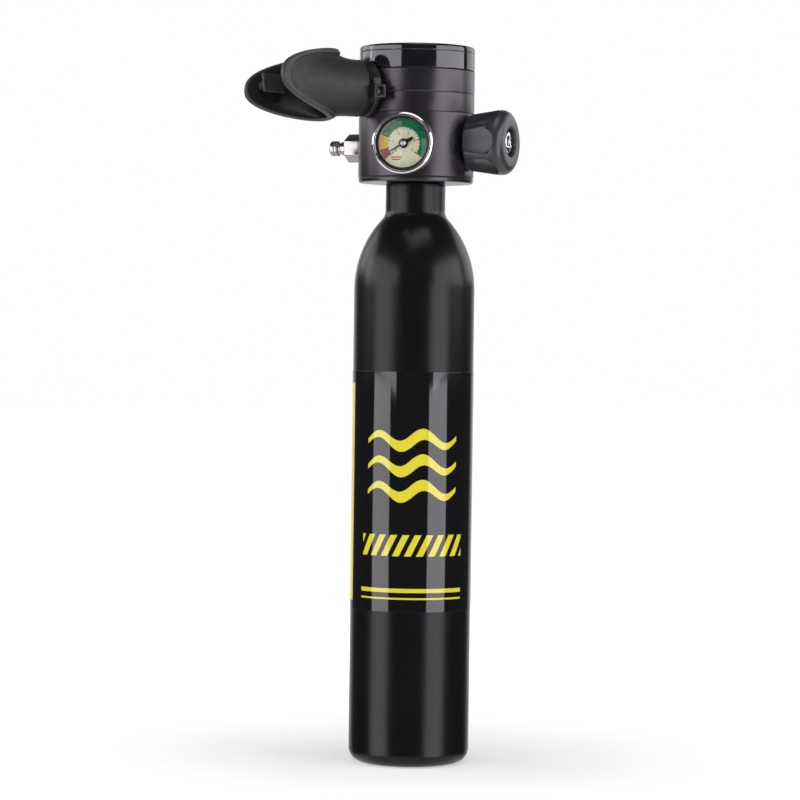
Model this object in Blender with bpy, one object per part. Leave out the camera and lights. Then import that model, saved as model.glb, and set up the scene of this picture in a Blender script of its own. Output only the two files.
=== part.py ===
"""A half-litre mini scuba tank: an aluminium bottle under a regulator head with a mouthpiece,
a pressure gauge, a shut-off knob, a fill nipple and a burst-disc plug.

Lengths are in millimetres and are scaled to metres when a mesh is made. +Z runs up the bottle's
axis from the middle of its base, and the mouthpiece points along -X. Pieces on a side port are
modelled in the port's own frame: local Z runs outwards from the bottle's axis, local Y runs up.
"""

import math

import bmesh
import bpy
from mathutils import Matrix, Vector

MM = 0.001
GAP = 0.3

# Bottle
TANK_RADIUS = 30.0
TANK_WALL = 5.0
BASE_FILLET = 7.0
CYLINDER_TOP = 235.6
SHOULDER_RADIUS = 52.0
NECK_RADIUS = 14.85
NECK_FILLET = 6.0
NECK_BORE = 9.0
LABEL_BOTTOM = 77.0
LABEL_TOP = 195.0

# Regulator head, from the neck up
HEAD_RADIUS = 28.75
HEAD_BOTTOM = 288.5
BODY_TOP = 322.8
HOUSING_TOP = 343.8
RING_TOP = 356.0
HOUSING_BOTTOM = BODY_TOP + GAP
RING_BOTTOM = HOUSING_TOP + GAP
NECK_TOP = HEAD_BOTTOM - GAP
HOUSING_BORE = 25.0
HOUSING_FLOOR = 326.0
RING_BORE = 21.3
PURGE_SHELF = 350.8

# Spigot in the neck, first-stage bore above the ports, demand valve and exhaust in the housing
SPIGOT_RADIUS = 8.7
SPIGOT_BOTTOM = 262.0
PISTON_BORE = 10.6
PISTON_FLOOR = 315.0
SPRING_BORE = 6.5
SPRING_FLOOR = 311.8
SEAT_POCKET = 2.9
SEAT_FLOOR = 310.5
LEVER_PIVOT = (20.1, 5.0)
INLET_DISTANCE = -7.0
EXHAUST_RADIUS = 8.0

# Side ports, as bearings about the bottle's axis from +X, and the heights of their axes
PORT_HEIGHT = 306.3
KNOB_HEIGHT = 308.3
BREATHING_HEIGHT = 334.0
EXHAUST_HEIGHT = 332.6
MOUTHPIECE_BEARING = 180.0
GAUGE_BEARING = 228.0
KNOB_BEARING = 305.5
NIPPLE_BEARING = 125.5
BURST_BEARING = 48.0
EXHAUST_BEARING = 40.0
DEMAND_BEARING = 270.0
DEMAND_HEIGHT = 332.5

# Mouthpiece, measured out along its axis
MOUTHPIECE_BACK = HEAD_RADIUS + 0.45
STUB_RADIUS = 9.3
STUB_BORE = 7.6
STUB_END = 39.0
TUBE_RADIUS = 14.0
TIE_GROOVE_RADIUS = 12.45
TIE_BACK = 30.3
TIE_FRONT = 35.1
FLANGE_HALF_WIDTH = 20.5
FLANGE_HALF_HEIGHT = 17.5
FLANGE_MIDDLE = 47.8
FLANGE_TIP = 87.3
FLANGE_SLANT = 0.186
BITE_TAB_END = 82.0
MOUTHPIECE_ROLL = 9.6
MOUTHPIECE_RISE = 0.023

# Knob
KNOB_BACK = 29.6
KNOB_FRONT = 50.5
KNOB_BACK_RADIUS = 14.0
KNOB_RADIUS = 16.0
FLUTE_COUNT = 6

# Gauge
GAUGE_RADIUS = 15.0
DIAL_RADIUS = 12.7
GAUGE_FRONT = 39.9
NEEDLE_ANGLE = 210.6

# Sides of round pieces: bottle and head, middle-sized pieces, small pieces
WIDE_SIDES = 32
MIDDLE_SIDES = 18
SMALL_SIDES = 12

for leftover in list(bpy.data.objects):
    bpy.data.objects.remove(leftover)


def finish_of(name, colour, roughness, metallic=0.0, transmission=0.0):
    finish = bpy.data.materials.new(name)
    finish.use_nodes = True
    shader = finish.node_tree.nodes["Principled BSDF"]
    shader.inputs["Base Color"].default_value = (*colour, 1.0)
    shader.inputs["Roughness"].default_value = roughness
    shader.inputs["Metallic"].default_value = metallic
    shader.inputs["Transmission Weight"].default_value = transmission
    return finish


SATIN_BLACK = finish_of("satin_black_aluminium", (0.03, 0.03, 0.032), 0.42, 0.6)
LABEL_FILM = finish_of("black_label_film", (0.012, 0.012, 0.014), 0.12)
HEAD_GREY = finish_of("grey_anodised_aluminium", (0.075, 0.068, 0.072), 0.4, 0.7)
GLOSS_BLACK = finish_of("gloss_black_ring", (0.012, 0.012, 0.015), 0.06, 0.4)
BLACK_PLASTIC = finish_of("black_knob_plastic", (0.045, 0.045, 0.05), 0.38)
BLACK_RUBBER = finish_of("black_mouthpiece_rubber", (0.06, 0.056, 0.058), 0.6)
SEAL_RUBBER = finish_of("seal_rubber", (0.015, 0.015, 0.015), 0.55)
CHROME = finish_of("chrome_plate", (0.82, 0.82, 0.83), 0.07, 1.0)
STAINLESS = finish_of("stainless_steel", (0.62, 0.61, 0.6), 0.22, 1.0)
BRASS = finish_of("machined_brass", (0.72, 0.52, 0.22), 0.28, 1.0)
COPPER = finish_of("burst_copper", (0.75, 0.38, 0.22), 0.3, 1.0)
SPRING_STEEL = finish_of("spring_steel", (0.5, 0.5, 0.5), 0.3, 1.0)
NYLON = finish_of("white_nylon", (0.8, 0.79, 0.74), 0.5)
SILICONE = finish_of("clear_grey_silicone", (0.35, 0.36, 0.37), 0.45)
DIAL_CREAM = finish_of("cream_dial_print", (0.72, 0.76, 0.56), 0.5)
NEEDLE_BLACK = finish_of("needle_black", (0.01, 0.01, 0.01), 0.4)
CLEAR_LENS = finish_of("clear_acrylic", (0.95, 0.95, 0.95), 0.02, 0.0, 0.95)


def axis_empty(name, bearing, height):
    """A frame on the bottle's axis whose local Z points outwards along the bearing."""
    empty = bpy.data.objects.new(name, None)
    empty.location = (0.0, 0.0, height * MM)
    empty.rotation_euler = (math.radians(90), 0.0, math.radians(bearing + 90))
    bpy.context.scene.collection.objects.link(empty)
    return empty


def axis_at(parent, name, distance):
    """A frame at a distance out along a port's axis, with its own local Z straight up."""
    empty = bpy.data.objects.new(name, None)
    empty.parent = parent
    empty.location = (0.0, 0.0, distance * MM)
    empty.rotation_euler = (math.radians(-90), 0.0, 0.0)
    bpy.context.scene.collection.objects.link(empty)
    return empty


def add_object(name, mesh_data, finish, parent=None):
    obj = bpy.data.objects.new(name, mesh_data)
    bpy.context.scene.collection.objects.link(obj)
    obj.parent = parent
    if finish:
        mesh_data.materials.append(finish)
    return obj


def solid(name, bm, finish, parent=None):
    """Close, orient and scale a mesh that was drawn in millimetres, and put it in the scene."""
    bmesh.ops.remove_doubles(bm, verts=bm.verts, dist=0.001)
    bmesh.ops.recalc_face_normals(bm, faces=bm.faces)
    bmesh.ops.scale(bm, vec=(MM, MM, MM), verts=bm.verts)
    mesh = bpy.data.meshes.new(name)
    bm.to_mesh(mesh)
    bm.free()
    mesh.shade_smooth()
    mesh.set_sharp_from_angle(angle=math.radians(35))
    return add_object(name, mesh, finish, parent)


def arc(centre_radius, centre_height, radius, start, end, steps):
    """Points of an arc in the (radius, height) plane, angles in degrees from the outward side."""
    points = []
    for step in range(steps + 1):
        angle = math.radians(start + (end - start) * step / steps)
        points.append(
            (
                centre_radius + radius * math.cos(angle),
                centre_height + radius * math.sin(angle),
            )
        )
    return points


def turned_mesh(outline, sides):
    """Turn a (radius, height) outline about local Z. One that ends on the axis stays open there."""
    bm = bmesh.new()
    verts = [bm.verts.new((radius, 0.0, height)) for radius, height in outline]
    edges = [bm.edges.new(pair) for pair in zip(verts, verts[1:])]
    if outline[0][0] > 0 or outline[-1][0] > 0:
        edges.append(bm.edges.new((verts[-1], verts[0])))
    bmesh.ops.spin(
        bm,
        geom=verts + edges,
        cent=(0, 0, 0),
        axis=(0, 0, 1),
        angle=math.tau,
        steps=sides,
        use_merge=True,
    )
    return bm


def turned(name, outline, finish, parent=None, sides=WIDE_SIDES):
    return solid(name, turned_mesh(outline, sides), finish, parent)


def tube_outline(inner, outer, bottom, top):
    return [(inner, bottom), (outer, bottom), (outer, top), (inner, top)]


def rod_outline(radius, bottom, top):
    return [(0.0, bottom), (radius, bottom), (radius, top), (0.0, top)]


def o_ring(name, middle_radius, thickness, height, parent=None, sides=MIDDLE_SIDES):
    section = arc(middle_radius, height, thickness / 2, 0, 360, 6)[:-1]
    return turned(name, section, SEAL_RUBBER, parent, sides)


def hexagon_mesh(across_flats, bottom, top, chamfer=0.0):
    """A hexagonal prism along local Z, its outer rim chamfered by a wide bevel of the top corners."""
    bm = bmesh.new()
    corner = across_flats / 2 / math.cos(math.pi / 6)
    bmesh.ops.create_cone(
        bm, cap_ends=True, segments=6, radius1=corner, radius2=corner, depth=top - bottom
    )
    bmesh.ops.translate(bm, vec=(0, 0, (top + bottom) / 2), verts=bm.verts)
    if chamfer:
        rim = [e for e in bm.edges if all(v.co.z > top - 0.01 for v in e.verts)]
        bmesh.ops.bevel(
            bm, geom=rim, offset=chamfer, segments=1, profile=0.5, affect="EDGES", material=-1
        )
    return bm


def box_mesh(low, high, bevel=0.0):
    bm = bmesh.new()
    bmesh.ops.create_cube(bm, size=1.0)
    bmesh.ops.scale(bm, vec=Vector(high) - Vector(low), verts=bm.verts)
    bmesh.ops.translate(bm, vec=(Vector(high) + Vector(low)) / 2, verts=bm.verts)
    if bevel:
        bmesh.ops.bevel(
            bm, geom=bm.edges[:], offset=bevel, segments=1, profile=0.5, affect="EDGES", material=-1
        )
    return bm


def prism_mesh(outline, low, high):
    """Extrude an outline of the local (Z, Y) plane along local X."""
    bm = bmesh.new()
    face = bm.faces.new([bm.verts.new((low, y, z)) for z, y in outline])
    grown = bmesh.ops.extrude_face_region(bm, geom=[face])
    top = [item for item in grown["geom"] if isinstance(item, bmesh.types.BMVert)]
    bmesh.ops.translate(bm, vec=(high - low, 0, 0), verts=top)
    return bm


def helper(name, bm, parent=None):
    """A hidden solid that a Boolean cuts with or joins on."""
    obj = solid(name, bm, None, parent)
    obj.hide_render = True
    obj.display_type = "WIRE"
    return obj


def boolean(obj, tool, operation):
    modifier = obj.modifiers.new(tool.name, "BOOLEAN")
    modifier.operation = operation
    modifier.solver = "EXACT"
    modifier.object = tool


def cut(obj, name, bm, parent=None):
    boolean(obj, helper(name, bm, parent), "DIFFERENCE")


def join(obj, name, bm, parent=None):
    boolean(obj, helper(name, bm, parent), "UNION")


def wire(name, points, thickness, finish, parent=None):
    """A round wire through points in millimetres, with closed ends."""
    curve = bpy.data.curves.new(name, "CURVE")
    curve.dimensions = "3D"
    curve.bevel_depth = thickness / 2 * MM
    curve.bevel_resolution = 0
    curve.use_fill_caps = True
    spline = curve.splines.new("POLY")
    spline.points.add(len(points) - 1)
    for spot, point in zip(spline.points, points):
        spot.co = (*(Vector(point) * MM), 1.0)
    return add_object(name, curve, finish, parent)


def coil_spring(name, coil_radius, thickness, bottom, top, turns, parent=None):
    """A compression spring along local Z, its outer turns ending inside bottom and top."""
    steps = turns * 8
    rise = top - bottom - thickness
    points = []
    for step in range(steps + 1):
        angle = math.tau * turns * step / steps
        height = bottom + thickness / 2 + rise * step / steps
        points.append(
            (coil_radius * math.cos(angle), coil_radius * math.sin(angle), height)
        )
    return wire(name, points, thickness, SPRING_STEEL, parent)


def build_bottle():
    """The pressed aluminium bottle, its printed film, and what sits in its neck."""
    shoulder_centre = TANK_RADIUS - SHOULDER_RADIUS
    fillet_centre = NECK_RADIUS + NECK_FILLET
    reach = SHOULDER_RADIUS + NECK_FILLET
    sweep = math.degrees(math.acos((fillet_centre - shoulder_centre) / reach))
    fillet_height = CYLINDER_TOP + reach * math.sin(math.radians(sweep))
    inner_radius = TANK_RADIUS - TANK_WALL
    inner_shoulder = SHOULDER_RADIUS - TANK_WALL
    inner_sweep = math.degrees(math.acos((NECK_BORE - shoulder_centre) / inner_shoulder))
    inner_fillet = BASE_FILLET - 1.0
    seal_seat = 11.6
    seal_depth = 2.4
    neck_chamfer = 0.6

    outline = [(0.0, 0.0)]
    outline += arc(TANK_RADIUS - BASE_FILLET, BASE_FILLET, BASE_FILLET, -90, 0, 3)
    outline += arc(shoulder_centre, CYLINDER_TOP, SHOULDER_RADIUS, 0, sweep, 6)
    outline += arc(fillet_centre, fillet_height, NECK_FILLET, 180 + sweep, 180, 3)[1:]
    outline += [
        (NECK_RADIUS, NECK_TOP - neck_chamfer),
        (NECK_RADIUS - neck_chamfer, NECK_TOP),
        (seal_seat, NECK_TOP),
        (seal_seat, NECK_TOP - seal_depth),
        (NECK_BORE, NECK_TOP - seal_depth),
    ]
    outline += arc(shoulder_centre, CYLINDER_TOP, inner_shoulder, inner_sweep, 0, 3)
    outline += arc(
        inner_radius - inner_fillet, TANK_WALL + inner_fillet, inner_fillet, 0, -90, 2
    )
    outline.append((0.0, TANK_WALL))
    turned("tank_cylinder", outline, SATIN_BLACK)

    film = 0.3
    label_inside = TANK_RADIUS + GAP
    label = tube_outline(label_inside, label_inside + film, LABEL_BOTTOM, LABEL_TOP)
    turned("label_wrap", label, LABEL_FILM)

    seal_thickness = 2.0
    o_ring("neck_o_ring", 10.3, seal_thickness, NECK_TOP - seal_depth / 2, None, SMALL_SIDES)

    turned("debris_tube", tube_outline(2.0, 3.0, 232.0, 267.6), STAINLESS, None, SMALL_SIDES)


def build_valve_body(ports):
    """The lower head block: a spigot down the neck, four side ports and the first-stage bore."""
    edge = 1.0
    passage = 2.0
    tube_socket = 3.3
    outline = [
        (0.0, SPIGOT_BOTTOM),
        (SPIGOT_RADIUS, SPIGOT_BOTTOM),
        (SPIGOT_RADIUS, HEAD_BOTTOM),
        (HEAD_RADIUS - edge, HEAD_BOTTOM),
        (HEAD_RADIUS, HEAD_BOTTOM + edge),
        (HEAD_RADIUS, BODY_TOP - edge / 3),
        (HEAD_RADIUS - edge / 3, BODY_TOP),
        (0.0, BODY_TOP),
    ]
    body = turned("valve_body", outline, HEAD_GREY)
    tank_passage = [
        (0.0, SPIGOT_BOTTOM - 2.0),
        (tube_socket, SPIGOT_BOTTOM - 2.0),
        (tube_socket, SPIGOT_BOTTOM + 6.0),
        (passage, SPIGOT_BOTTOM + 6.0),
        (passage, KNOB_HEIGHT),
        (0.0, KNOB_HEIGHT),
    ]
    cut(body, "tank_passage", turned_mesh(tank_passage, SMALL_SIDES))
    stage_bore = [
        (0.0, SEAT_FLOOR),
        (SEAT_POCKET, SEAT_FLOOR),
        (SEAT_POCKET, SPRING_FLOOR),
        (SPRING_BORE, SPRING_FLOOR),
        (SPRING_BORE, PISTON_FLOOR),
        (PISTON_BORE, PISTON_FLOOR),
        (PISTON_BORE, BODY_TOP + 2.0),
        (0.0, BODY_TOP + 2.0),
    ]
    cut(body, "stage_bore", turned_mesh(stage_bore, MIDDLE_SIDES))
    outside = HEAD_RADIUS + 3.0
    air_way = 1.5
    port_bores = {
        "knob": [(air_way, 10.0), (5.3, 10.0), (5.3, outside)],
        "gauge": [(air_way, 14.0), (3.3, 14.0), (3.3, outside)],
        "nipple": [
            (air_way, 16.0),
            (5.0, 16.0),
            (5.0, 26.4),
            (7.2, 26.4),
            (7.2, 27.8),
            (8.6, 27.8),
            (8.6, outside),
        ],
        "burst": [(air_way, 17.0), (4.3, 17.0), (4.3, 27.9), (7.0, 27.9), (7.0, outside)],
    }
    for port, steps in port_bores.items():
        bore = [(0.0, 0.0), (air_way, 0.0), *steps, (0.0, outside)]
        cut(body, f"{port}_bore", turned_mesh(bore, SMALL_SIDES), ports[port])


def build_first_stage():
    """The pressure-reducing piston above the ports, with its spring, seal and seat."""
    shaft = 2.4
    head = 10.2
    head_bottom = 317.0
    head_top = 320.5
    groove = 8.3
    groove_bottom = 317.9
    groove_top = 319.6
    piston = [
        (1.0, SPRING_FLOOR + 0.4),
        (shaft, SPRING_FLOOR + 0.4),
        (shaft, head_bottom),
        (head, head_bottom),
        (head, groove_bottom),
        (groove, groove_bottom),
        (groove, groove_top),
        (head, groove_top),
        (head, head_top),
        (1.0, head_top),
    ]
    turned("first_stage_piston", piston, BRASS, None, SMALL_SIDES)
    o_ring("piston_o_ring", 9.5, 1.4, (groove_bottom + groove_top) / 2, None, SMALL_SIDES)
    coil_spring("piston_spring", 4.4, 1.1, SPRING_FLOOR + GAP, head_bottom - GAP, 3)
    seat = rod_outline(2.5, SEAT_FLOOR + GAP, SPRING_FLOOR)
    turned("high_pressure_seat", seat, NYLON, None, SMALL_SIDES)


def build_regulator_housing(ports):
    """The upper head shell with the breathing stub at one side and the exhaust port opposite."""
    ledge = 341.2
    ledge_radius = 26.6
    seam = 332.5
    seam_depth = 0.3
    edge = 0.3
    outline = [
        (0.0, HOUSING_BOTTOM),
        (HEAD_RADIUS - edge, HOUSING_BOTTOM),
        (HEAD_RADIUS, HOUSING_BOTTOM + edge),
        (HEAD_RADIUS, seam - seam_depth),
        (HEAD_RADIUS - seam_depth, seam),
        (HEAD_RADIUS, seam + seam_depth),
        (HEAD_RADIUS, HOUSING_TOP),
        (ledge_radius, HOUSING_TOP),
        (ledge_radius, ledge),
        (HOUSING_BORE, ledge),
        (HOUSING_BORE, HOUSING_FLOOR),
        (0.0, HOUSING_FLOOR),
    ]
    housing = turned("regulator_housing", outline, HEAD_GREY)

    barb = 0.3
    stub = [
        (0.0, 26.3),
        (STUB_RADIUS, 26.3),
        (STUB_RADIUS, STUB_END - 4.0),
        (STUB_RADIUS + barb, STUB_END - 2.5),
        (STUB_RADIUS - 0.4, STUB_END),
        (0.0, STUB_END),
    ]
    join(housing, "breathing_stub", turned_mesh(stub, MIDDLE_SIDES), ports["mouthpiece"])
    stub_bore = turned_mesh(rod_outline(STUB_BORE, 18.0, STUB_END + 3.0), MIDDLE_SIDES)
    cut(housing, "stub_bore", stub_bore, ports["mouthpiece"])

    exhaust_face = turned_mesh(
        rod_outline(EXHAUST_RADIUS + GAP, 26.7, HEAD_RADIUS + 3.0), MIDDLE_SIDES
    )
    cut(housing, "exhaust_face", exhaust_face, ports["exhaust"])
    hole_radius = 1.3
    holes = turned_mesh(rod_outline(hole_radius, 18.0, 30.0), SMALL_SIDES)
    for bearing in range(0, 360, 90):
        middle = Matrix.Rotation(math.radians(bearing + 45), 4, "Z") @ Vector((3.7, 0, 0))
        bmesh.ops.create_cone(
            holes,
            cap_ends=True,
            segments=SMALL_SIDES,
            radius1=hole_radius,
            radius2=hole_radius,
            depth=12.0,
            matrix=Matrix.Translation(middle + Vector((0, 0, 24.0))),
        )
    cut(housing, "exhaust_holes", holes, ports["exhaust"])

    air_hole = turned_mesh(rod_outline(2.0, -12.0, -4.0), SMALL_SIDES)
    inlet = axis_at(ports["demand"], "inlet_axis", INLET_DISTANCE)
    cut(housing, "inlet_hole", air_hole, inlet)


def build_exhaust(axis):
    """The rubber mushroom flap over the exhaust holes, under a slotted cover."""
    seat = 27.0
    flap_radius = 5.7
    flap = [
        (0.0, 23.0),
        (1.5, 23.4),
        (0.8, 24.4),
        (0.8, seat),
        (flap_radius, seat),
        (flap_radius, seat + 0.4),
        (0.0, seat + 1.0),
    ]
    turned("exhaust_valve", flap, SILICONE, axis, SMALL_SIDES)
    rim = EXHAUST_RADIUS
    wall = 1.6
    face = 31.0
    cover = turned(
        "exhaust_cover",
        [
            (0.0, face - 1.4),
            (rim - wall, face - 1.4),
            (rim - wall, seat),
            (rim, seat),
            (rim, face - 1.0),
            (rim - 1.0, face),
            (0.0, face),
        ],
        BLACK_PLASTIC,
        axis,
        MIDDLE_SIDES,
    )
    slot_half_lengths = (3.0, 4.8, 5.4, 4.8, 3.0)
    slot_pitch = 2.3
    slot_half_width = 0.6
    for row, half_length in enumerate(slot_half_lengths):
        middle = (row - 2) * slot_pitch
        slot = box_mesh(
            (-half_length, middle - slot_half_width, face - 3.0),
            (half_length, middle + slot_half_width, face + 1.0),
        )
        cut(cover, f"exhaust_slot_{row}", slot, axis)


def build_purge():
    """The gloss ring that closes the head, with the purge button and the breathing diaphragm."""
    edge = 1.8
    line = RING_TOP - 3.2
    line_depth = 0.25
    ring = [
        (24.0, RING_BOTTOM),
        (HEAD_RADIUS, RING_BOTTOM),
        (HEAD_RADIUS, line - line_depth),
        (HEAD_RADIUS - line_depth, line),
        (HEAD_RADIUS, line + line_depth),
    ]
    ring += arc(HEAD_RADIUS - edge, RING_TOP - edge, edge, 0, 90, 3)
    ring += [
        (RING_BORE + 0.8, RING_TOP),
        (RING_BORE, RING_TOP - 0.8),
        (RING_BORE, PURGE_SHELF),
        (24.0, PURGE_SHELF),
    ]
    turned("top_ring", ring, GLOSS_BLACK)

    face = RING_TOP - 0.8
    button_radius = RING_BORE - 0.5
    button_ceiling = face - 3.0
    ripple = 0.6
    button = [
        (0.0, face - 1.2),
        (8.0, face - 1.0),
        (9.0, face - 1.0 - ripple),
        (10.0, face - 0.7),
        (14.0, face - 0.5),
        (15.0, face - 0.5 - ripple),
        (16.0, face - 0.2),
        (button_radius - 0.8, face),
        (button_radius, face - 0.8),
        (button_radius, PURGE_SHELF - 0.4),
        (23.4, PURGE_SHELF - 0.4),
        (23.4, PURGE_SHELF - 2.4),
        (18.5, PURGE_SHELF - 2.4),
        (18.5, button_ceiling),
        (3.0, button_ceiling),
        (3.0, 344.5),
        (0.0, 344.5),
    ]
    turned("purge_button", button, BLACK_PLASTIC, None, MIDDLE_SIDES)
    coil_spring("purge_spring", 6.0, 0.9, 344.5, button_ceiling - GAP, 4)

    membrane = 0.8
    dome = [(0.0, 343.3), (12.0, 343.3), (15.0, 341.9), (18.0, 341.9), (20.5, 343.3), (23.0, 343.0)]
    bead = [(24.2, 341.5), (26.3, 341.5), (26.3, 343.7), (23.6, 343.8)]
    above = [(radius, height + membrane) for radius, height in reversed(dome[:-1])]
    turned("diaphragm", dome + bead + above, SILICONE, None, MIDDLE_SIDES)
    turned("diaphragm_plate", rod_outline(11.0, 342.2, 343.0), STAINLESS, None, MIDDLE_SIDES)


def build_demand_valve(axis):
    """The breathing valve: a barrel across the housing, its poppet, and the lever that pulls it."""
    barrel_radius = 4.5
    bore = 3.2
    stem_hole = 1.3
    outline = [
        (0.0, -12.0),
        (barrel_radius, -12.0),
        (barrel_radius, 16.0),
        (stem_hole, 16.0),
        (stem_hole, 15.0),
        (bore, 15.0),
        (bore, -10.5),
        (0.0, -10.5),
    ]
    barrel = turned("demand_barrel", outline, BRASS, axis, MIDDLE_SIDES)
    inlet = axis_at(axis, "barrel_inlet_axis", INLET_DISTANCE)
    post_bottom = HOUSING_FLOOR + GAP - DEMAND_HEIGHT
    join(barrel, "inlet_post", turned_mesh(rod_outline(3.6, post_bottom, -3.6), SMALL_SIDES), inlet)
    cut(barrel, "inlet_bore", turned_mesh(rod_outline(1.8, -9.0, -1.0), SMALL_SIDES), inlet)
    ear_low, ear_high = 2.6, 3.6
    pivot_z, pivot_y = LEVER_PIVOT
    for side, low, high in (("near", -ear_high, -ear_low), ("far", ear_low, ear_high)):
        ear = box_mesh((low, 2.3, 12.0), (high, pivot_y + 1.9, pivot_z + 1.5))
        join(barrel, f"{side}_ear", ear, axis)

    across = Matrix.Translation((0, pivot_y, pivot_z)) @ Matrix.Rotation(math.pi / 2, 4, "Y")
    pin_hole = turned_mesh(rod_outline(1.1, -6.0, 6.0), SMALL_SIDES)
    bmesh.ops.transform(pin_hole, matrix=across, verts=pin_hole.verts)
    pin_cutter = helper("pin_hole", pin_hole, axis)
    boolean(barrel, pin_cutter, "DIFFERENCE")
    pin = turned_mesh(rod_outline(0.8, -4.2, 4.2), SMALL_SIDES)
    bmesh.ops.transform(pin, matrix=across, verts=pin.verts)
    solid("lever_pin", pin, STAINLESS, axis)

    foot_back, foot_front, foot_bottom = 20.5, 22.0, -2.6
    pad_top, pad_bottom = 9.35, 8.3
    lever_outline = [
        (foot_front, foot_bottom),
        (foot_front, 6.6),
        (19.5, 7.1),
        (4.5, pad_top),
        (1.0, pad_top),
        (1.0, pad_bottom),
        (4.2, pad_bottom),
        (18.2, 5.8),
        (18.2, 3.0),
        (foot_back, 3.0),
        (foot_back, foot_bottom),
    ]
    pivot = bpy.data.objects.new("lever_pivot", None)
    pivot.parent = axis
    pivot.location = (0.0, pivot_y * MM, pivot_z * MM)
    bpy.context.scene.collection.objects.link(pivot)
    about_pivot = [(z - pivot_z, y - pivot_y) for z, y in lever_outline]
    lever = solid("demand_lever", prism_mesh(about_pivot, -2.2, 2.2), STAINLESS, pivot)
    boolean(lever, pin_cutter, "DIFFERENCE")
    fork = box_mesh((-1.3, foot_bottom - 1, foot_back - 1), (1.3, 1.6, foot_front + 1))
    cut(lever, "lever_fork", fork, axis)

    stem = 0.9
    poppet = [
        (0.0, 0.0),
        (2.8, 0.0),
        (2.8, 10.0),
        (stem, 10.0),
        (stem, 22.4),
        (2.0, 22.4),
        (2.0, 23.6),
        (0.0, 23.6),
    ]
    turned("demand_poppet", poppet, BRASS, axis, SMALL_SIDES)
    coil_spring("poppet_spring", 2.1, 0.7, 10.0 + GAP, 15.0 - GAP, 3, axis)
    orifice = [(1.2, -3.5), (2.8, -3.5), (2.8, -0.8), (1.6, -GAP), (1.2, -GAP)]
    turned("seat_orifice", orifice, BRASS, axis, SMALL_SIDES)


def mouthpiece_section(turn):
    """The mouthpiece wall's closed section at one turn about its axis, as (x, y, z) points."""
    radial = Vector((math.cos(turn), math.sin(turn), 0))
    roundness = 0.8
    bow = 2.2
    wall = 2.2
    lip = 1.0
    lip_width = 4.4

    def sheet_height(x, y):
        """How far out the flange's bowed and slanted sheet stands at a place across it."""
        share = (abs(x) / FLANGE_HALF_WIDTH) ** bow
        return FLANGE_MIDDLE + (FLANGE_TIP - FLANGE_MIDDLE) * share - FLANGE_SLANT * y

    def bend_of(neck, rim):
        bend = neck.lerp(rim, 0.12)
        bend.z = rim.z + sheet_height(bend.x, bend.y) - sheet_height(rim.x, rim.y)
        return bend

    def flare(neck, rim, share):
        """A point on the curve that leaves the neck along its axis and turns into the sheet."""
        bend = bend_of(neck, rim)
        return (1 - share) ** 2 * neck + 2 * share * (1 - share) * bend + share**2 * rim

    x = math.copysign(FLANGE_HALF_WIDTH * abs(radial.x) ** roundness, radial.x)
    y = math.copysign(FLANGE_HALF_HEIGHT * abs(radial.y) ** roundness, radial.y) + GAP
    rim = Vector((x, y, sheet_height(x, y)))
    steepness = (sheet_height(x + 0.01, y) - sheet_height(x - 0.01, y)) / 0.02
    outwards = Vector((steepness, -FLANGE_SLANT, -1)).normalized()

    neck_steps = [
        (TUBE_RADIUS, MOUTHPIECE_BACK),
        (TUBE_RADIUS, TIE_BACK - GAP),
        (TIE_GROOVE_RADIUS, TIE_BACK - GAP),
        (TIE_GROOVE_RADIUS, TIE_FRONT + GAP),
        (TUBE_RADIUS, TIE_FRONT + GAP),
    ]
    section = [radial * radius + Vector((0, 0, z)) for radius, z in neck_steps]
    outer_neck = radial * TUBE_RADIUS + Vector((0, 0, STUB_END))
    outer_rim = rim - outwards * lip
    inner_neck = radial * (TUBE_RADIUS - wall) + Vector((0, 0, STUB_END + 2.0))
    inner_rim = outer_rim - outwards * wall
    along = (outer_rim - flare(outer_neck, outer_rim, 0.9)).normalized()
    reach = 2 * (outer_rim - bend_of(outer_neck, outer_rim)).length
    lip_start = max(0.62, 1 - lip_width / reach)
    section += [
        flare(outer_neck, outer_rim, lip_start * share) for share in (0.0, 0.3, 0.65, 1.0)
    ]
    section += [
        flare(outer_neck, outer_rim, lip_start + 0.03) + outwards * lip,
        rim - along * 0.7,
        rim - outwards * 0.9,
        inner_rim + outwards * 0.7,
        inner_rim - along * 0.7,
    ]
    section += [flare(inner_neck, inner_rim, share) for share in (0.8, 0.55, 0.25, 0.0)]
    bore = STUB_RADIUS + 0.7
    section += [radial * bore + Vector((0, 0, z)) for z in (STUB_END + 0.6, MOUTHPIECE_BACK)]
    return section


def settle_mouthpiece(bm):
    """Clock the mouthpiece about its axis, and let it rise gently beyond the stub."""
    roll = Matrix.Rotation(math.radians(MOUTHPIECE_ROLL), 4, "Z")
    bmesh.ops.transform(bm, matrix=roll, verts=bm.verts)
    for vert in bm.verts:
        vert.co.y += MOUTHPIECE_RISE * max(0.0, vert.co.z - STUB_END)


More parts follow.
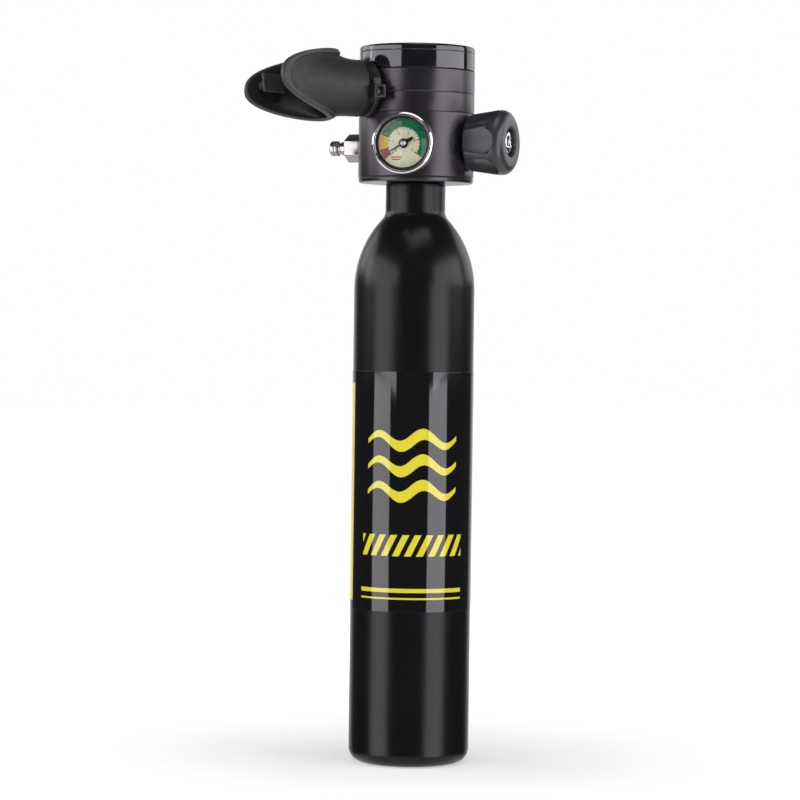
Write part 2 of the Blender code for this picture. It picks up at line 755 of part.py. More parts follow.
def build_mouthpiece(axis):
    """The moulded rubber mouthpiece with its lip flange and two bite tabs, and its cable tie."""
    around = 28
    sections = [mouthpiece_section(math.tau * step / around) for step in range(around)]
    bm = bmesh.new()
    rows = [[bm.verts.new(point) for point in section] for section in sections]
    for row, following in zip(rows, rows[1:] + rows[:1]):
        for spot in range(len(row)):
            after = (spot + 1) % len(row)
            bm.faces.new((row[spot], row[after], following[after], following[spot]))
    settle_mouthpiece(bm)
    mouthpiece = solid("mouthpiece", bm, BLACK_RUBBER, axis)

    lug_inside, lug_outside = 9.0, 11.2
    lug_low, lug_high, lug_back = -2.8, 6.4, BITE_TAB_END - 12.0
    pad_low, pad_high, pad_back = 0.6, 3.0, BITE_TAB_END - 11.5
    pad_outside = 15.9
    pad_slope = 0.3
    for side, name in ((-1, "far"), (1, "near")):
        inside, outside = sorted((side * lug_inside, side * lug_outside))
        lug = box_mesh((inside, lug_low, lug_back), (outside, lug_high, BITE_TAB_END))
        settle_mouthpiece(lug)
        inside, outside = sorted((side * (lug_outside - 1.0), side * pad_outside))
        pad = box_mesh((inside, pad_low, pad_back), (outside, pad_high, BITE_TAB_END - 0.8))
        for vert in pad.verts:
            vert.co.y -= pad_slope * (abs(vert.co.x) - lug_outside)
        settle_mouthpiece(pad)
        join(mouthpiece, f"{name}_bite_pad", pad, axis)
        join(mouthpiece, f"{name}_bite_lug", lug, axis)

    tie_inside = TIE_GROOVE_RADIUS + GAP
    tie_outside = 14.0
    band = tube_outline(tie_inside, tie_outside, TIE_BACK, TIE_FRONT)
    tie = turned("cable_tie", band, BLACK_PLASTIC, axis, MIDDLE_SIDES)
    foot_low = (tie_inside + 0.5, -4.0, TIE_BACK + 0.3)
    foot_high = (tie_outside + 2.0, 0.8, TIE_FRONT - 0.3)
    join(tie, "tie_foot", box_mesh(foot_low, foot_high), axis)
    catch_inside = tie_outside + 0.4
    catch_low = (catch_inside, -5.6, TIE_BACK - 0.9)
    catch_high = (catch_inside + 4.4, 1.2, TIE_FRONT + 0.9)
    join(tie, "tie_catch", box_mesh(catch_low, catch_high, 0.6), axis)
    tail_low = (tie_outside + 1.6, 0.4, TIE_BACK + 0.7)
    tail_high = (tie_outside + 3.0, 4.8, TIE_FRONT - 0.7)
    join(tie, "tie_tail", box_mesh(tail_low, tail_high), axis)


def flute_mesh():
    """The scoops of the knob's grip: each opens out towards the front and ends in a round arch."""
    floor_back, floor_front = 13.0, 14.2
    back_half, front_half = 4.75, 7.0
    start = KNOB_BACK - 2.0
    arch_start, arch_end = 40.6, 46.6
    outline = [(-back_half, start)]
    for angle in range(180, -1, -30):
        across = front_half * math.cos(math.radians(angle))
        height = arch_start + (arch_end - arch_start) * math.sin(math.radians(angle))
        outline.append((across, height))
    outline.append((back_half, start))
    bm = bmesh.new()
    for count in range(FLUTE_COUNT):
        turn = Matrix.Rotation(math.tau * count / FLUTE_COUNT, 3, "Z")
        verts = []
        for across, height in outline:
            share = (height - start) / (arch_end - start)
            floor = floor_back + (floor_front - floor_back) * share
            verts.append(bm.verts.new(turn @ Vector((floor, across, height))))
        grown = bmesh.ops.extrude_face_region(bm, geom=[bm.faces.new(verts)])
        top = [item for item in grown["geom"] if isinstance(item, bmesh.types.BMVert)]
        bmesh.ops.translate(bm, vec=turn @ Vector((6.0, 0, 0)), verts=top)
    return bm


def build_shut_off(axis):
    """The shut-off valve: knob, nut and spindle, the gland they turn in, and the seat they lift."""
    nose = 4.6
    recess = 7.0
    recess_floor = 46.0
    spindle_radius = 3.0
    spindle_hole = spindle_radius + 0.35
    gland_well = 7.3
    outline = [
        (gland_well, KNOB_BACK),
        (KNOB_BACK_RADIUS - 0.8, KNOB_BACK),
        (KNOB_BACK_RADIUS, KNOB_BACK + 0.8),
        (KNOB_RADIUS, KNOB_FRONT - nose - 1.4),
    ]
    outline += arc(KNOB_RADIUS - nose, KNOB_FRONT - nose, nose, 0, 90, 5)
    outline += [
        (recess + 1.2, KNOB_FRONT),
        (recess, KNOB_FRONT - 1.2),
        (recess, recess_floor),
        (spindle_hole, recess_floor),
        (spindle_hole, 34.0),
        (gland_well, 34.0),
    ]
    knob = turned("valve_knob", outline, BLACK_PLASTIC, axis)
    cut(knob, "knob_flutes", flute_mesh(), axis)

    nut_bottom, nut_top = recess_floor + GAP, 49.4
    nut = solid("knob_nut", hexagon_mesh(10.0, nut_bottom, nut_top, 0.8), CHROME, axis)
    nut_bore = [(0.0, 44.0), (2.4, 44.0), (2.4, 48.0), (1.35, 48.0), (1.35, 52.0), (0.0, 52.0)]
    cut(nut, "nut_bore", turned_mesh(nut_bore, SMALL_SIDES), axis)

    tip_start = 16.9
    collar_back, collar_front = 20.8, 22.4
    spindle = [
        (0.0, tip_start),
        (2.5, tip_start),
        (2.5, collar_back),
        (4.6, collar_back),
        (4.6, collar_front),
        (spindle_radius, collar_front),
        (spindle_radius, recess_floor),
        (2.0, recess_floor),
        (2.0, 47.7),
        (0.0, 47.7),
    ]
    turned("valve_spindle", spindle, BRASS, axis, SMALL_SIDES)

    seal_groove = 4.6
    gland = [
        (spindle_hole, collar_front + GAP),
        (4.95, collar_front + GAP),
        (4.95, 29.1),
        (spindle_hole, 29.1),
        (spindle_hole, 25.3),
        (seal_groove, 25.3),
        (seal_groove, 23.7),
        (spindle_hole, 23.7),
    ]
    nut_head = hexagon_mesh(12.0, 28.95, 32.4, 0.6)
    gland_nut = turned("gland_nut", gland, BRASS, axis, SMALL_SIDES)
    join(gland_nut, "gland_head", nut_head, axis)
    head_bore = turned_mesh(rod_outline(spindle_hole, 26.0, 36.0), SMALL_SIDES)
    cut(gland_nut, "gland_bore", head_bore, axis)
    o_ring("spindle_o_ring", 3.85, 1.0, 24.5, axis, SMALL_SIDES)

    plug = [
        (0.0, 13.7),
        (3.1, 13.7),
        (3.1, 12.2),
        (4.8, 12.2),
        (4.8, 18.5),
        (2.9, 18.5),
        (2.9, 14.6),
        (0.0, 14.6),
    ]
    turned("seat_plug", plug, BRASS, axis, SMALL_SIDES)
    turned("seat_insert", rod_outline(2.8, 10.3, 13.4), NYLON, axis, SMALL_SIDES)


def build_gauge(axis):
    """The pressure gauge: case, chrome bezel, lens, dial, needle, stem and pressure tube."""
    case_radius = 14.2
    case_bore = 13.0
    case_back, case_floor, case_front = 31.2, 32.4, 38.0
    stem_hole = 2.3
    case = [
        (stem_hole, case_back),
        (case_radius - 1.2, case_back),
        (case_radius, case_back + 1.2),
        (case_radius, case_front),
        (case_bore, case_front),
        (case_bore, case_floor),
        (stem_hole, case_floor),
    ]
    turned("gauge_case", case, STAINLESS, axis, MIDDLE_SIDES)
    bezel_inside = case_radius + GAP
    lip = 12.35
    bezel = [
        (bezel_inside, 33.2),
        (GAUGE_RADIUS, 33.2),
        (GAUGE_RADIUS, GAUGE_FRONT - 1.2),
        (GAUGE_RADIUS - 0.5, GAUGE_FRONT - 0.3),
        (GAUGE_RADIUS - 1.3, GAUGE_FRONT),
        (GAUGE_RADIUS - 2.2, GAUGE_FRONT - 0.5),
        (lip, GAUGE_FRONT - 1.0),
        (lip, case_front + GAP),
        (bezel_inside, case_front + GAP),
    ]
    turned("gauge_bezel", bezel, CHROME, axis, MIDDLE_SIDES)
    turned("gauge_lens", rod_outline(DIAL_RADIUS, 37.1, 37.9), CLEAR_LENS, axis, MIDDLE_SIDES)
    turned("gauge_dial", tube_outline(1.0, DIAL_RADIUS, 34.4, 34.9), DIAL_CREAM, axis, MIDDLE_SIDES)

    stem = [
        (1.0, 15.0),
        (3.0, 15.0),
        (3.0, 29.4),
        (4.4, 29.4),
        (4.4, 30.9),
        (2.0, 30.9),
        (2.0, 32.6),
        (1.0, 32.6),
    ]
    turned("gauge_stem", stem, BRASS, axis, SMALL_SIDES)
    tube_plane = 33.5
    tube_turns = [math.radians(angle) for angle in range(-60, 211, 30)]
    tube = [(9.5 * math.cos(a), 9.5 * math.sin(a), tube_plane) for a in tube_turns]
    wire("pressure_tube", tube, 1.2, BRASS, axis)

    needle_plane = 35.6
    needle_thickness = 0.5
    point_outline = [
        (-5.0, -1.0),
        (-5.6, 0.0),
        (-5.0, 1.0),
        (-1.5, 0.6),
        (0.0, 0.6),
        (8.8, 0.15),
        (8.8, -0.15),
        (0.0, -0.6),
        (-1.5, -0.6),
    ]
    bm = bmesh.new()
    turn = Matrix.Rotation(math.radians(NEEDLE_ANGLE), 3, "Z")
    verts = [bm.verts.new(turn @ Vector((x, y, needle_plane))) for x, y in point_outline]
    grown = bmesh.ops.extrude_face_region(bm, geom=[bm.faces.new(verts)])
    top = [item for item in grown["geom"] if isinstance(item, bmesh.types.BMVert)]
    bmesh.ops.translate(bm, vec=(0, 0, needle_thickness), verts=top)
    needle = solid("gauge_needle", bm, NEEDLE_BLACK, axis)
    hub = [(0.0, 33.2), (0.6, 33.2), (0.6, 35.3), (1.7, 35.3), (1.7, 36.5), (0.0, 36.7)]
    join(needle, "needle_hub", turned_mesh(hub, SMALL_SIDES), axis)


def build_fill_nipple(axis):
    """The quick-connect fill nipple with its check valve, and its seal on the head."""
    hexagon = 12.6
    hexagon_back, hexagon_front = 28.2, 36.8
    shank, neck, plug = 4.7, 2.9, 3.8
    seat_bore, chamber = 1.6, 2.6
    nipple = solid(
        "fill_nipple", hexagon_mesh(hexagon, hexagon_back, hexagon_front, 0.8), STAINLESS, axis
    )
    spine = [
        (0.0, 17.0),
        (shank, 17.0),
        (shank, 30.0),
        (3.4, 30.0),
        (3.4, 40.0),
        (neck, 40.4),
        (neck, 41.6),
        (plug, 42.0),
        (plug, 45.2),
        (plug - 0.6, 46.0),
        (0.0, 46.0),
    ]
    join(nipple, "nipple_spine", turned_mesh(spine, MIDDLE_SIDES), axis)
    bore = [
        (0.0, 15.0),
        (chamber, 15.0),
        (chamber, 33.6),
        (seat_bore, 34.4),
        (seat_bore, 48.0),
        (0.0, 48.0),
    ]
    cut(nipple, "nipple_bore", turned_mesh(bore, SMALL_SIDES), axis)
    o_ring("nipple_o_ring", 6.1, 1.2, 27.3, axis, SMALL_SIDES)
    poppet = [(0.0, 30.0), (2.2, 30.0), (2.2, 33.0), (1.0, 34.0), (0.0, 34.0)]
    turned("check_poppet", poppet, BRASS, axis, SMALL_SIDES)
    coil_spring("check_spring", 1.8, 0.7, 21.0, 30.0 - GAP, 4, axis)


def build_burst_plug(axis):
    """The safety plug at the back, which holds a thin copper disc that bursts before the bottle."""
    plug = solid("burst_plug", hexagon_mesh(10.0, 28.2, 32.0, 0.7), BRASS, axis)
    join(plug, "burst_shank", turned_mesh(rod_outline(4.0, 18.1, 29.0), SMALL_SIDES), axis)
    cut(plug, "burst_vent", turned_mesh(rod_outline(1.6, 16.0, 34.0), SMALL_SIDES), axis)
    turned("burst_disc", rod_outline(3.8, 17.3, 17.8), COPPER, axis, SMALL_SIDES)


port_frames = {
    "mouthpiece": axis_empty("mouthpiece_axis", MOUTHPIECE_BEARING, BREATHING_HEIGHT),
    "exhaust": axis_empty("exhaust_axis", EXHAUST_BEARING, EXHAUST_HEIGHT),
    "demand": axis_empty("demand_axis", DEMAND_BEARING, DEMAND_HEIGHT),
    "gauge": axis_empty("gauge_axis", GAUGE_BEARING, PORT_HEIGHT),
    "knob": axis_empty("knob_axis", KNOB_BEARING, KNOB_HEIGHT),
    "nipple": axis_empty("nipple_axis", NIPPLE_BEARING, PORT_HEIGHT),
    "burst": axis_empty("burst_axis", BURST_BEARING, PORT_HEIGHT),
}
build_bottle()
build_valve_body(port_frames)
build_first_stage()
build_regulator_housing(port_frames)
build_exhaust(port_frames["exhaust"])
build_purge()
build_demand_valve(port_frames["demand"])
build_mouthpiece(port_frames["mouthpiece"])
build_shut_off(port_frames["knob"])
build_gauge(port_frames["gauge"])
build_fill_nipple(port_frames["nipple"])
build_burst_plug(port_frames["burst"])
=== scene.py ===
"""The looks of a half-litre mini scuba tank: bottle, printed film, regulator head, mouthpiece, gauge,
shut-off knob, fill nipple and burst plug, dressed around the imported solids."""

import math

import bmesh
import bpy
from mathutils import Matrix, Vector


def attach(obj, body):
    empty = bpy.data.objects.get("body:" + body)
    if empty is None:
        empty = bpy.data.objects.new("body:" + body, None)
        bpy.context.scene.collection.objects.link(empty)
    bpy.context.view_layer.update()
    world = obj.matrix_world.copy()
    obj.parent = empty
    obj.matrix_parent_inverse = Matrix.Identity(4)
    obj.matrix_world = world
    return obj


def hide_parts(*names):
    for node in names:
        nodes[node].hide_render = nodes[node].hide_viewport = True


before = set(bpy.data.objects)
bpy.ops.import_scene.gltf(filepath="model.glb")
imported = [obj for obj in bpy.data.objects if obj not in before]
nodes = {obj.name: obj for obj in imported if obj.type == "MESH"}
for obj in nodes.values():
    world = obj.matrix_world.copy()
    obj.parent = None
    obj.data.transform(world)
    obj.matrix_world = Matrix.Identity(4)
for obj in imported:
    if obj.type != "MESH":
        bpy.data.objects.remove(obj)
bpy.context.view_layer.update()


# Bottle: drawn and spun from one piece of aluminium, with a flat base, a long shoulder and a plain
# neck. It is painted satin black all over, and the head's spigot screws into its neck.
mm = 0.001
bottle_radius = 30.0
bottle_wall = 5.0
base_corner = 7.0
shoulder_start = 235.6
shoulder_bend = 52.0
neck_radius = 14.85
neck_bend = 6.0
neck_end = 288.2


def arc(centre_radius, centre_height, bend, start, end, steps):
    """Points of an arc in the plane of radius and height, its angles in degrees."""
    angles = [math.radians(start + (end - start) * step / steps) for step in range(steps + 1)]
    return [(centre_radius + bend * math.cos(a), centre_height + bend * math.sin(a)) for a in angles]


def eased(corners, steps=4):
    """An outline whose corners, each given as radius, height and ease, are rounded off."""
    points = []
    for before, here, after in zip(corners[-1:] + corners[:-1], corners, corners[1:] + corners[:1]):
        corner, ease = Vector(here[:2]), here[2]
        if not ease:
            points.append(tuple(corner))
            continue
        start = corner + (Vector(before[:2]) - corner).normalized() * ease
        end = corner + (Vector(after[:2]) - corner).normalized() * ease
        for step in range(steps + 1):
            share = step / steps
            points.append(tuple(start.lerp(corner, share).lerp(corner.lerp(end, share), share)))
    return points


def place_piece(name, bm, finish, place=Matrix.Identity(4), crease=32, unit=mm):
    """Put a mesh that was drawn in millimetres where it belongs, in metres, with its finish."""
    bmesh.ops.remove_doubles(bm, verts=bm.verts, dist=0.0005)
    bmesh.ops.recalc_face_normals(bm, faces=bm.faces)
    bmesh.ops.scale(bm, vec=(unit, unit, unit), verts=bm.verts)
    bmesh.ops.transform(bm, matrix=place, verts=bm.verts)
    mesh = bpy.data.meshes.new(name)
    bm.to_mesh(mesh)
    bm.free()
    mesh.shade_smooth()
    mesh.set_sharp_from_angle(angle=math.radians(crease))
    mesh.materials.append(finish)
    piece = bpy.data.objects.new(name, mesh)
    bpy.context.scene.collection.objects.link(piece)
    return piece


def spun(outline, steps=128):
    """An outline of radius and height turned once about Z; one off the axis is closed first."""
    bm = bmesh.new()
    verts = [bm.verts.new((radius, 0.0, height)) for radius, height in outline]
    edges = [bm.edges.new(pair) for pair in zip(verts, verts[1:])]
    if outline[0][0] > 0 or outline[-1][0] > 0:
        edges.append(bm.edges.new((verts[-1], verts[0])))
    bmesh.ops.spin(
        bm, geom=verts + edges, cent=(0, 0, 0), axis=(0, 0, 1), angle=math.tau, steps=steps, use_merge=True
    )
    return bm


def new_finish(name, colour, roughness, metallic=0.0):
    finish = bpy.data.materials.new(name)
    finish.use_nodes = True
    shader = finish.node_tree.nodes["Principled BSDF"]
    shader.inputs["Base Color"].default_value = (*colour, 1.0)
    shader.inputs["Roughness"].default_value = roughness
    shader.inputs["Metallic"].default_value = metallic
    return finish


def shader_of(finish):
    return finish.node_tree.nodes["Principled BSDF"]


def add_node(finish, kind, **values):
    """A shader node with its named inputs set to values or linked to other sockets."""
    node = finish.node_tree.nodes.new(kind)
    for name, value in values.items():
        socket = node.inputs[name.replace("_", " ")]
        if isinstance(value, bpy.types.NodeSocket):
            finish.node_tree.links.new(value, socket)
        else:
            socket.default_value = value
    return node


def grain(finish, scale, stretch=(1.0, 1.0, 1.0), detail=3.0):
    """A noise over the piece's own coordinates, in features per metre, stretched along an axis."""
    coordinates = add_node(finish, "ShaderNodeTexCoord")
    mapping = add_node(finish, "ShaderNodeMapping", Vector=coordinates.outputs["Object"], Scale=stretch)
    noise = add_node(
        finish, "ShaderNodeTexNoise", Vector=mapping.outputs["Vector"], Scale=scale, Detail=detail
    )
    return noise.outputs["Fac"]


def spread(finish, fac, low, high):
    """Carry the middle half of a noise's values to a range."""
    node = add_node(
        finish, "ShaderNodeMapRange", Value=fac, From_Min=0.25, From_Max=0.75, To_Min=low, To_Max=high
    )
    return node.outputs["Result"]


def vary_roughness(finish, fac, low, high):
    finish.node_tree.links.new(spread(finish, fac, low, high), shader_of(finish).inputs["Roughness"])


def mix_colours(finish, fac, dark, light):
    """Colour a finish from dark to light as a factor goes from 0 to 1."""
    mix = add_node(finish, "ShaderNodeMix", Factor=fac)
    mix.data_type = "RGBA"
    sockets = [s for s in mix.inputs if s.type == "RGBA"]
    sockets[0].default_value = (*dark, 1.0)
    sockets[1].default_value = (*light, 1.0)
    result = next(s for s in mix.outputs if s.type == "RGBA")
    finish.node_tree.links.new(result, shader_of(finish).inputs["Base Color"])


def vary_colour(finish, fac, dark, light):
    mix_colours(finish, spread(finish, fac, 0.0, 1.0), dark, light)


def raise_grain(finish, fac, height):
    """Bump a surface by a noise, its height in metres."""
    bump = add_node(finish, "ShaderNodeBump", Height=fac, Strength=1.0, Distance=height)
    finish.node_tree.links.new(bump.outputs["Normal"], shader_of(finish).inputs["Normal"])


shoulder_centre = bottle_radius - shoulder_bend
bend_centre = neck_radius + neck_bend
bend_reach = shoulder_bend + neck_bend
shoulder_sweep = math.degrees(math.acos((bend_centre - shoulder_centre) / bend_reach))
bend_height = shoulder_start + bend_reach * math.sin(math.radians(shoulder_sweep))
inner_bend = shoulder_bend - bottle_wall
neck_bore = 9.0
inner_sweep = math.degrees(math.acos((neck_bore - shoulder_centre) / inner_bend))
bottle_outline = [(0.0, 0.0), (12.0, 0.0)]
bottle_outline += arc(bottle_radius - base_corner, base_corner, base_corner, -90, 0, 14)
bottle_outline += [(bottle_radius, height) for height in (60.0, 120.0, 180.0)]
bottle_outline += arc(shoulder_centre, shoulder_start, shoulder_bend, 0, shoulder_sweep, 28)
bottle_outline += arc(bend_centre, bend_height, neck_bend, 180 + shoulder_sweep, 180, 12)[1:]
bottle_outline += eased(
    [(neck_radius, neck_end - 4.0, 0.0), (neck_radius, neck_end, 0.6), (11.6, neck_end, 0.0)]
)
bottle_outline += [(11.6, neck_end - 2.4), (neck_bore, neck_end - 2.4)]
bottle_outline += arc(shoulder_centre, shoulder_start, inner_bend, inner_sweep, 0, 10)
bottle_outline += arc(bottle_radius - bottle_wall - 6.0, bottle_wall + 6.0, 6.0, 0, -90, 5)
bottle_outline.append((0.0, bottle_wall))

satin_black = new_finish("satin_black_paint", (0.005, 0.005, 0.0056), 0.24)
shader_of(satin_black).inputs["Specular IOR Level"].default_value = 0.34
paint_grain = grain(satin_black, 2600.0, detail=2.0)
paint_cloud = grain(satin_black, 55.0, (1.0, 1.0, 0.35))
vary_colour(satin_black, paint_cloud, (0.0042, 0.0042, 0.0048), (0.006, 0.006, 0.0067))
vary_roughness(satin_black, paint_cloud, 0.23, 0.28)
raise_grain(satin_black, paint_grain, 0.000018)

bottle = place_piece("bottle", spun(bottle_outline, 160), satin_black)
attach(bottle, "tank_and_head")
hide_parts("tank_cylinder")


# Printed film: a gloss plastic sleeve shrunk and stuck around the bottle, black with yellow print:
# a stack of waves, a row of slanted bars and two rules in front, and a yellow panel on the far left.
film_bottom, film_top = 77.0, 195.0
film_outside = bottle_radius + 0.3
print_facing = 238.0
print_yellow = (0.88, 0.79, 0.045)

film_finish = new_finish("printed_gloss_film", (0.006, 0.006, 0.007), 0.06)
shader_of(film_finish).inputs["Specular IOR Level"].default_value = 0.8
film_coordinates = add_node(film_finish, "ShaderNodeTexCoord")
film_turn = add_node(
    film_finish,
    "ShaderNodeMapping",
    Vector=film_coordinates.outputs["Object"],
    Rotation=(0.0, 0.0, math.radians(-print_facing)),
    Scale=(1000.0, 1000.0, 1000.0),
)
film_axes = add_node(film_finish, "ShaderNodeSeparateXYZ", Vector=film_turn.outputs["Vector"])


def sum_up(finish, operation, first, second=0.0, third=0.0):
    """One arithmetic step of a printed pattern, on numbers or sockets."""
    node = finish.node_tree.nodes.new("ShaderNodeMath")
    node.operation = operation
    for socket, value in zip(node.inputs, (first, second, third)):
        if isinstance(value, bpy.types.NodeSocket):
            finish.node_tree.links.new(value, socket)
        else:
            socket.default_value = value
    return node.outputs[0]


def between(finish, value, low, high):
    """1 where a value lies between two limits, 0 elsewhere."""
    middle = (low + high) / 2
    offset = sum_up(finish, "ABSOLUTE", sum_up(finish, "SUBTRACT", value, middle))
    return sum_up(finish, "LESS_THAN", offset, (high - low) / 2)


def every(finish, first, *others):
    for other in others:
        first = sum_up(finish, "MULTIPLY", first, other)
    return first


def either(finish, first, *others):
    for other in others:
        first = sum_up(finish, "MAXIMUM", first, other)
    return first


def from_row(finish, value, pitch):
    """How far a value lies from the nearest of the rows that repeat at a pitch."""
    return sum_up(finish, "ABSOLUTE", sum_up(finish, "WRAP", value, pitch / 2, -pitch / 2))


film_angle = sum_up(film_finish, "ARCTAN2", film_axes.outputs["Y"], film_axes.outputs["X"])
film_across = sum_up(film_finish, "MULTIPLY", film_angle, film_outside)
film_height = film_axes.outputs["Z"]

wave_pitch, wave_length, wave_rise, wave_width = 12.5, 23.0, 3.0, 6.4
wave_middle, wave_half_span, wave_thinning = 149.0, 24.0, 0.085
wave_phase = sum_up(film_finish, "MULTIPLY", film_across, math.tau / wave_length)
wave_swing = sum_up(film_finish, "SINE", wave_phase)
wave_line = sum_up(film_finish, "MULTIPLY_ADD", wave_swing, -wave_rise, film_height)
wave_row = sum_up(film_finish, "SUBTRACT", wave_line, wave_middle)
wave_offset = from_row(film_finish, wave_row, wave_pitch)
from_middle = sum_up(film_finish, "ABSOLUTE", film_across)
wave_taper = sum_up(film_finish, "MULTIPLY_ADD", from_middle, -wave_thinning, wave_width / 2)
waves = every(
    film_finish,
    sum_up(film_finish, "LESS_THAN", wave_offset, wave_taper),
    between(film_finish, wave_row, -1.5 * wave_pitch, 1.5 * wave_pitch),
    between(film_finish, film_across, -wave_half_span, wave_half_span),
)
bar_pitch, bar_slant, bar_half_width = 6.0, 0.5, 1.7
bar_run = sum_up(film_finish, "MULTIPLY_ADD", film_height, -bar_slant, film_across)
bars = every(
    film_finish,
    sum_up(film_finish, "LESS_THAN", from_row(film_finish, bar_run, bar_pitch), bar_half_width),
    between(film_finish, film_height, 104.5, 115.0),
    between(film_finish, film_across, -27.0, 28.5),
)
thick_rule = between(film_finish, film_height, 86.6, 88.6)
thin_rule = between(film_finish, film_height, 83.2, 84.1)
rules = every(
    film_finish,
    either(film_finish, thick_rule, thin_rule),
    between(film_finish, film_across, -28.0, 28.5),
)
panel = every(
    film_finish,
    between(film_finish, film_height, 81.0, 189.0),
    between(film_finish, film_across, -88.0, -37.6),
)
panel_line_half = 1.2
panel_ink = every(
    film_finish,
    sum_up(film_finish, "LESS_THAN", from_row(film_finish, wave_line, 2 * wave_pitch), panel_line_half),
    between(film_finish, wave_line, 92.0, 182.0),
    between(film_finish, film_across, -82.0, -48.0),
)
panel_print = sum_up(film_finish, "MULTIPLY", panel, sum_up(film_finish, "SUBTRACT", 1.0, panel_ink))
film_ink = either(film_finish, waves, bars, rules, panel_print)
mix_colours(film_finish, film_ink, (0.0062, 0.0062, 0.0072), print_yellow)
vary_roughness(film_finish, grain(film_finish, 70.0), 0.05, 0.085)
raise_grain(film_finish, grain(film_finish, 45.0, (1.0, 1.0, 0.25), 1.0), 0.00012)

film_outline = eased(
    [
        (bottle_radius, film_bottom, 0.0),
        (film_outside, film_bottom, 0.12),
        (film_outside, film_top, 0.12),
        (bottle_radius, film_top, 0.0),
    ]
)
film = place_piece("printed_film", spun(film_outline, 160), film_finish)
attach(film, "tank_and_head")
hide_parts("label_wrap")


# Head block: turned from an aluminium bar and anodised dark grey, with the fine rings of the lathe
# left on it. A lip runs round its lower edge, and its side ports are spot-faced for what screws in.
head_radius = 28.75
head_bottom = 288.5
block_top = 322.8
port_height = 306.3
knob_height = 308.3
nipple_bearing = 125.5
burst_bearing = 48.0
knob_bearing = 305.5
gauge_bearing = 228.0


def port_place(bearing, height):
    """A port's place on the bottle's axis: its own Z points outwards and its own Y up."""
    turn = Matrix.Rotation(math.radians(bearing + 90), 4, "Z") @ Matrix.Rotation(math.radians(90), 4, "X")
    return Matrix.Translation((0.0, 0.0, height * mm)) @ turn


def rod(radius, low, high, steps, bore=0.0):
    """A plain round bar along Z, or a tube where it has a bore."""
    return spun([(bore, low), (radius, low), (radius, high), (bore, high)], steps)


def carve(piece, *cutters):
    """Cut holes in a piece with closed meshes that are thrown away afterwards."""
    for cutter in cutters:
        cut = piece.modifiers.new("cut", "BOOLEAN")
        cut.operation = "DIFFERENCE"
        cut.solver = "EXACT"
        cut.object = cutter
    seen = piece.evaluated_get(bpy.context.evaluated_depsgraph_get())
    carved = bpy.data.meshes.new_from_object(seen)
    piece.modifiers.clear()
    piece.data = carved
    for cutter in cutters:
        bpy.data.objects.remove(cutter)


def anodised(name, colour, roughness):
    """Dark anodised aluminium with the faint rings that a lathe leaves, stacked along Z."""
    finish = new_finish(name, colour, roughness, 0.85)
    rings = grain(finish, 900.0, (0.004, 0.004, 2.2), 4.0)
    cloud = grain(finish, 60.0)
    vary_colour(finish, rings, [c * 0.86 for c in colour], [c * 1.14 for c in colour])
    vary_roughness(finish, cloud, roughness - 0.03, roughness + 0.05)
    raise_grain(finish, rings, 0.000009)
    return finish


head_grey = anodised("dark_grey_anodising", (0.081, 0.073, 0.082), 0.28)
block_outline = [(0.0, head_bottom - 20.0), (8.7, head_bottom - 20.0)]
block_outline += eased(
    [
        (8.7, head_bottom, 0.0),
        (head_radius - 0.5, head_bottom, 0.5),
        (head_radius - 0.1, head_bottom + 2.0, 0.3),
        (head_radius - 0.55, head_bottom + 2.35, 0.1),
        (head_radius, head_bottom + 2.7, 0.15),
        (head_radius, block_top, 0.15),
        (10.6, block_top, 0.0),
    ]
)
block_outline += [(10.6, block_top - 4.0), (0.0, block_top - 4.0)]
block = place_piece("head_block", spun(block_outline, 192), head_grey)
beyond_block = 32.0
port_sizes = {
    "nipple_spot_face": (nipple_bearing, 16.0, 5.0, 27.8, 8.6),
    "burst_spot_face": (burst_bearing, 17.0, 4.3, 27.9, 7.0),
}
port_cutters = []
for port_name, (bearing, port_end, port_radius, face_depth, face_radius) in port_sizes.items():
    port_outline = [(0.0, port_end), (port_radius, port_end), (port_radius, face_depth)]
    port_outline += [(face_radius, face_depth), (face_radius, beyond_block), (0.0, beyond_block)]
    port_mesh = spun(port_outline, 48)
    port_cutters.append(place_piece(port_name, port_mesh, head_grey, port_place(bearing, port_height)))
knob_bore = rod(5.3, 10.0, beyond_block, 40)
port_cutters.append(place_piece("knob_bore", knob_bore, head_grey, port_place(knob_bearing, knob_height)))
carve(block, *port_cutters)
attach(block, "tank_and_head")
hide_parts("valve_body")


# Regulator housing: a turned cup of the same anodised aluminium, screwed onto the block. A fine seam
# runs round it at half height, and a ribbed stub stands out on one side for the mouthpiece.
housing_bottom, housing_top = 322.95, 343.8
housing_bore = 25.0
housing_floor = 326.0
seam_height = 332.5
breathing_height = 334.0
mouthpiece_bearing = 180.0
breathing_place = port_place(mouthpiece_bearing, breathing_height)
stub_radius, stub_bore, stub_end = 9.3, 7.6, 39.0

housing_outline = [(0.0, housing_bottom)]
housing_outline += eased(
    [
        (housing_bore, housing_bottom, 0.0),
        (head_radius, housing_bottom, 0.15),
        (head_radius, seam_height - 0.25, 0.1),
        (head_radius - 0.14, seam_height, 0.05),
        (head_radius, seam_height + 0.25, 0.1),
        (head_radius, housing_top, 0.3),
        (26.6, housing_top, 0.0),
        (26.6, 341.2, 0.0),
        (housing_bore, 341.2, 0.0),
        (housing_bore, housing_floor, 0.5),
    ]
)[:-1]
housing_outline += [(housing_bore, housing_floor), (0.0, housing_floor)]
housing = place_piece("regulator_cup", spun(housing_outline, 192), head_grey)
stub_way = place_piece("stub_way", rod(stub_bore, 18.0, 34.0, 48), head_grey, breathing_place)
carve(housing, stub_way)
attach(housing, "tank_and_head")
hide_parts("regulator_housing")

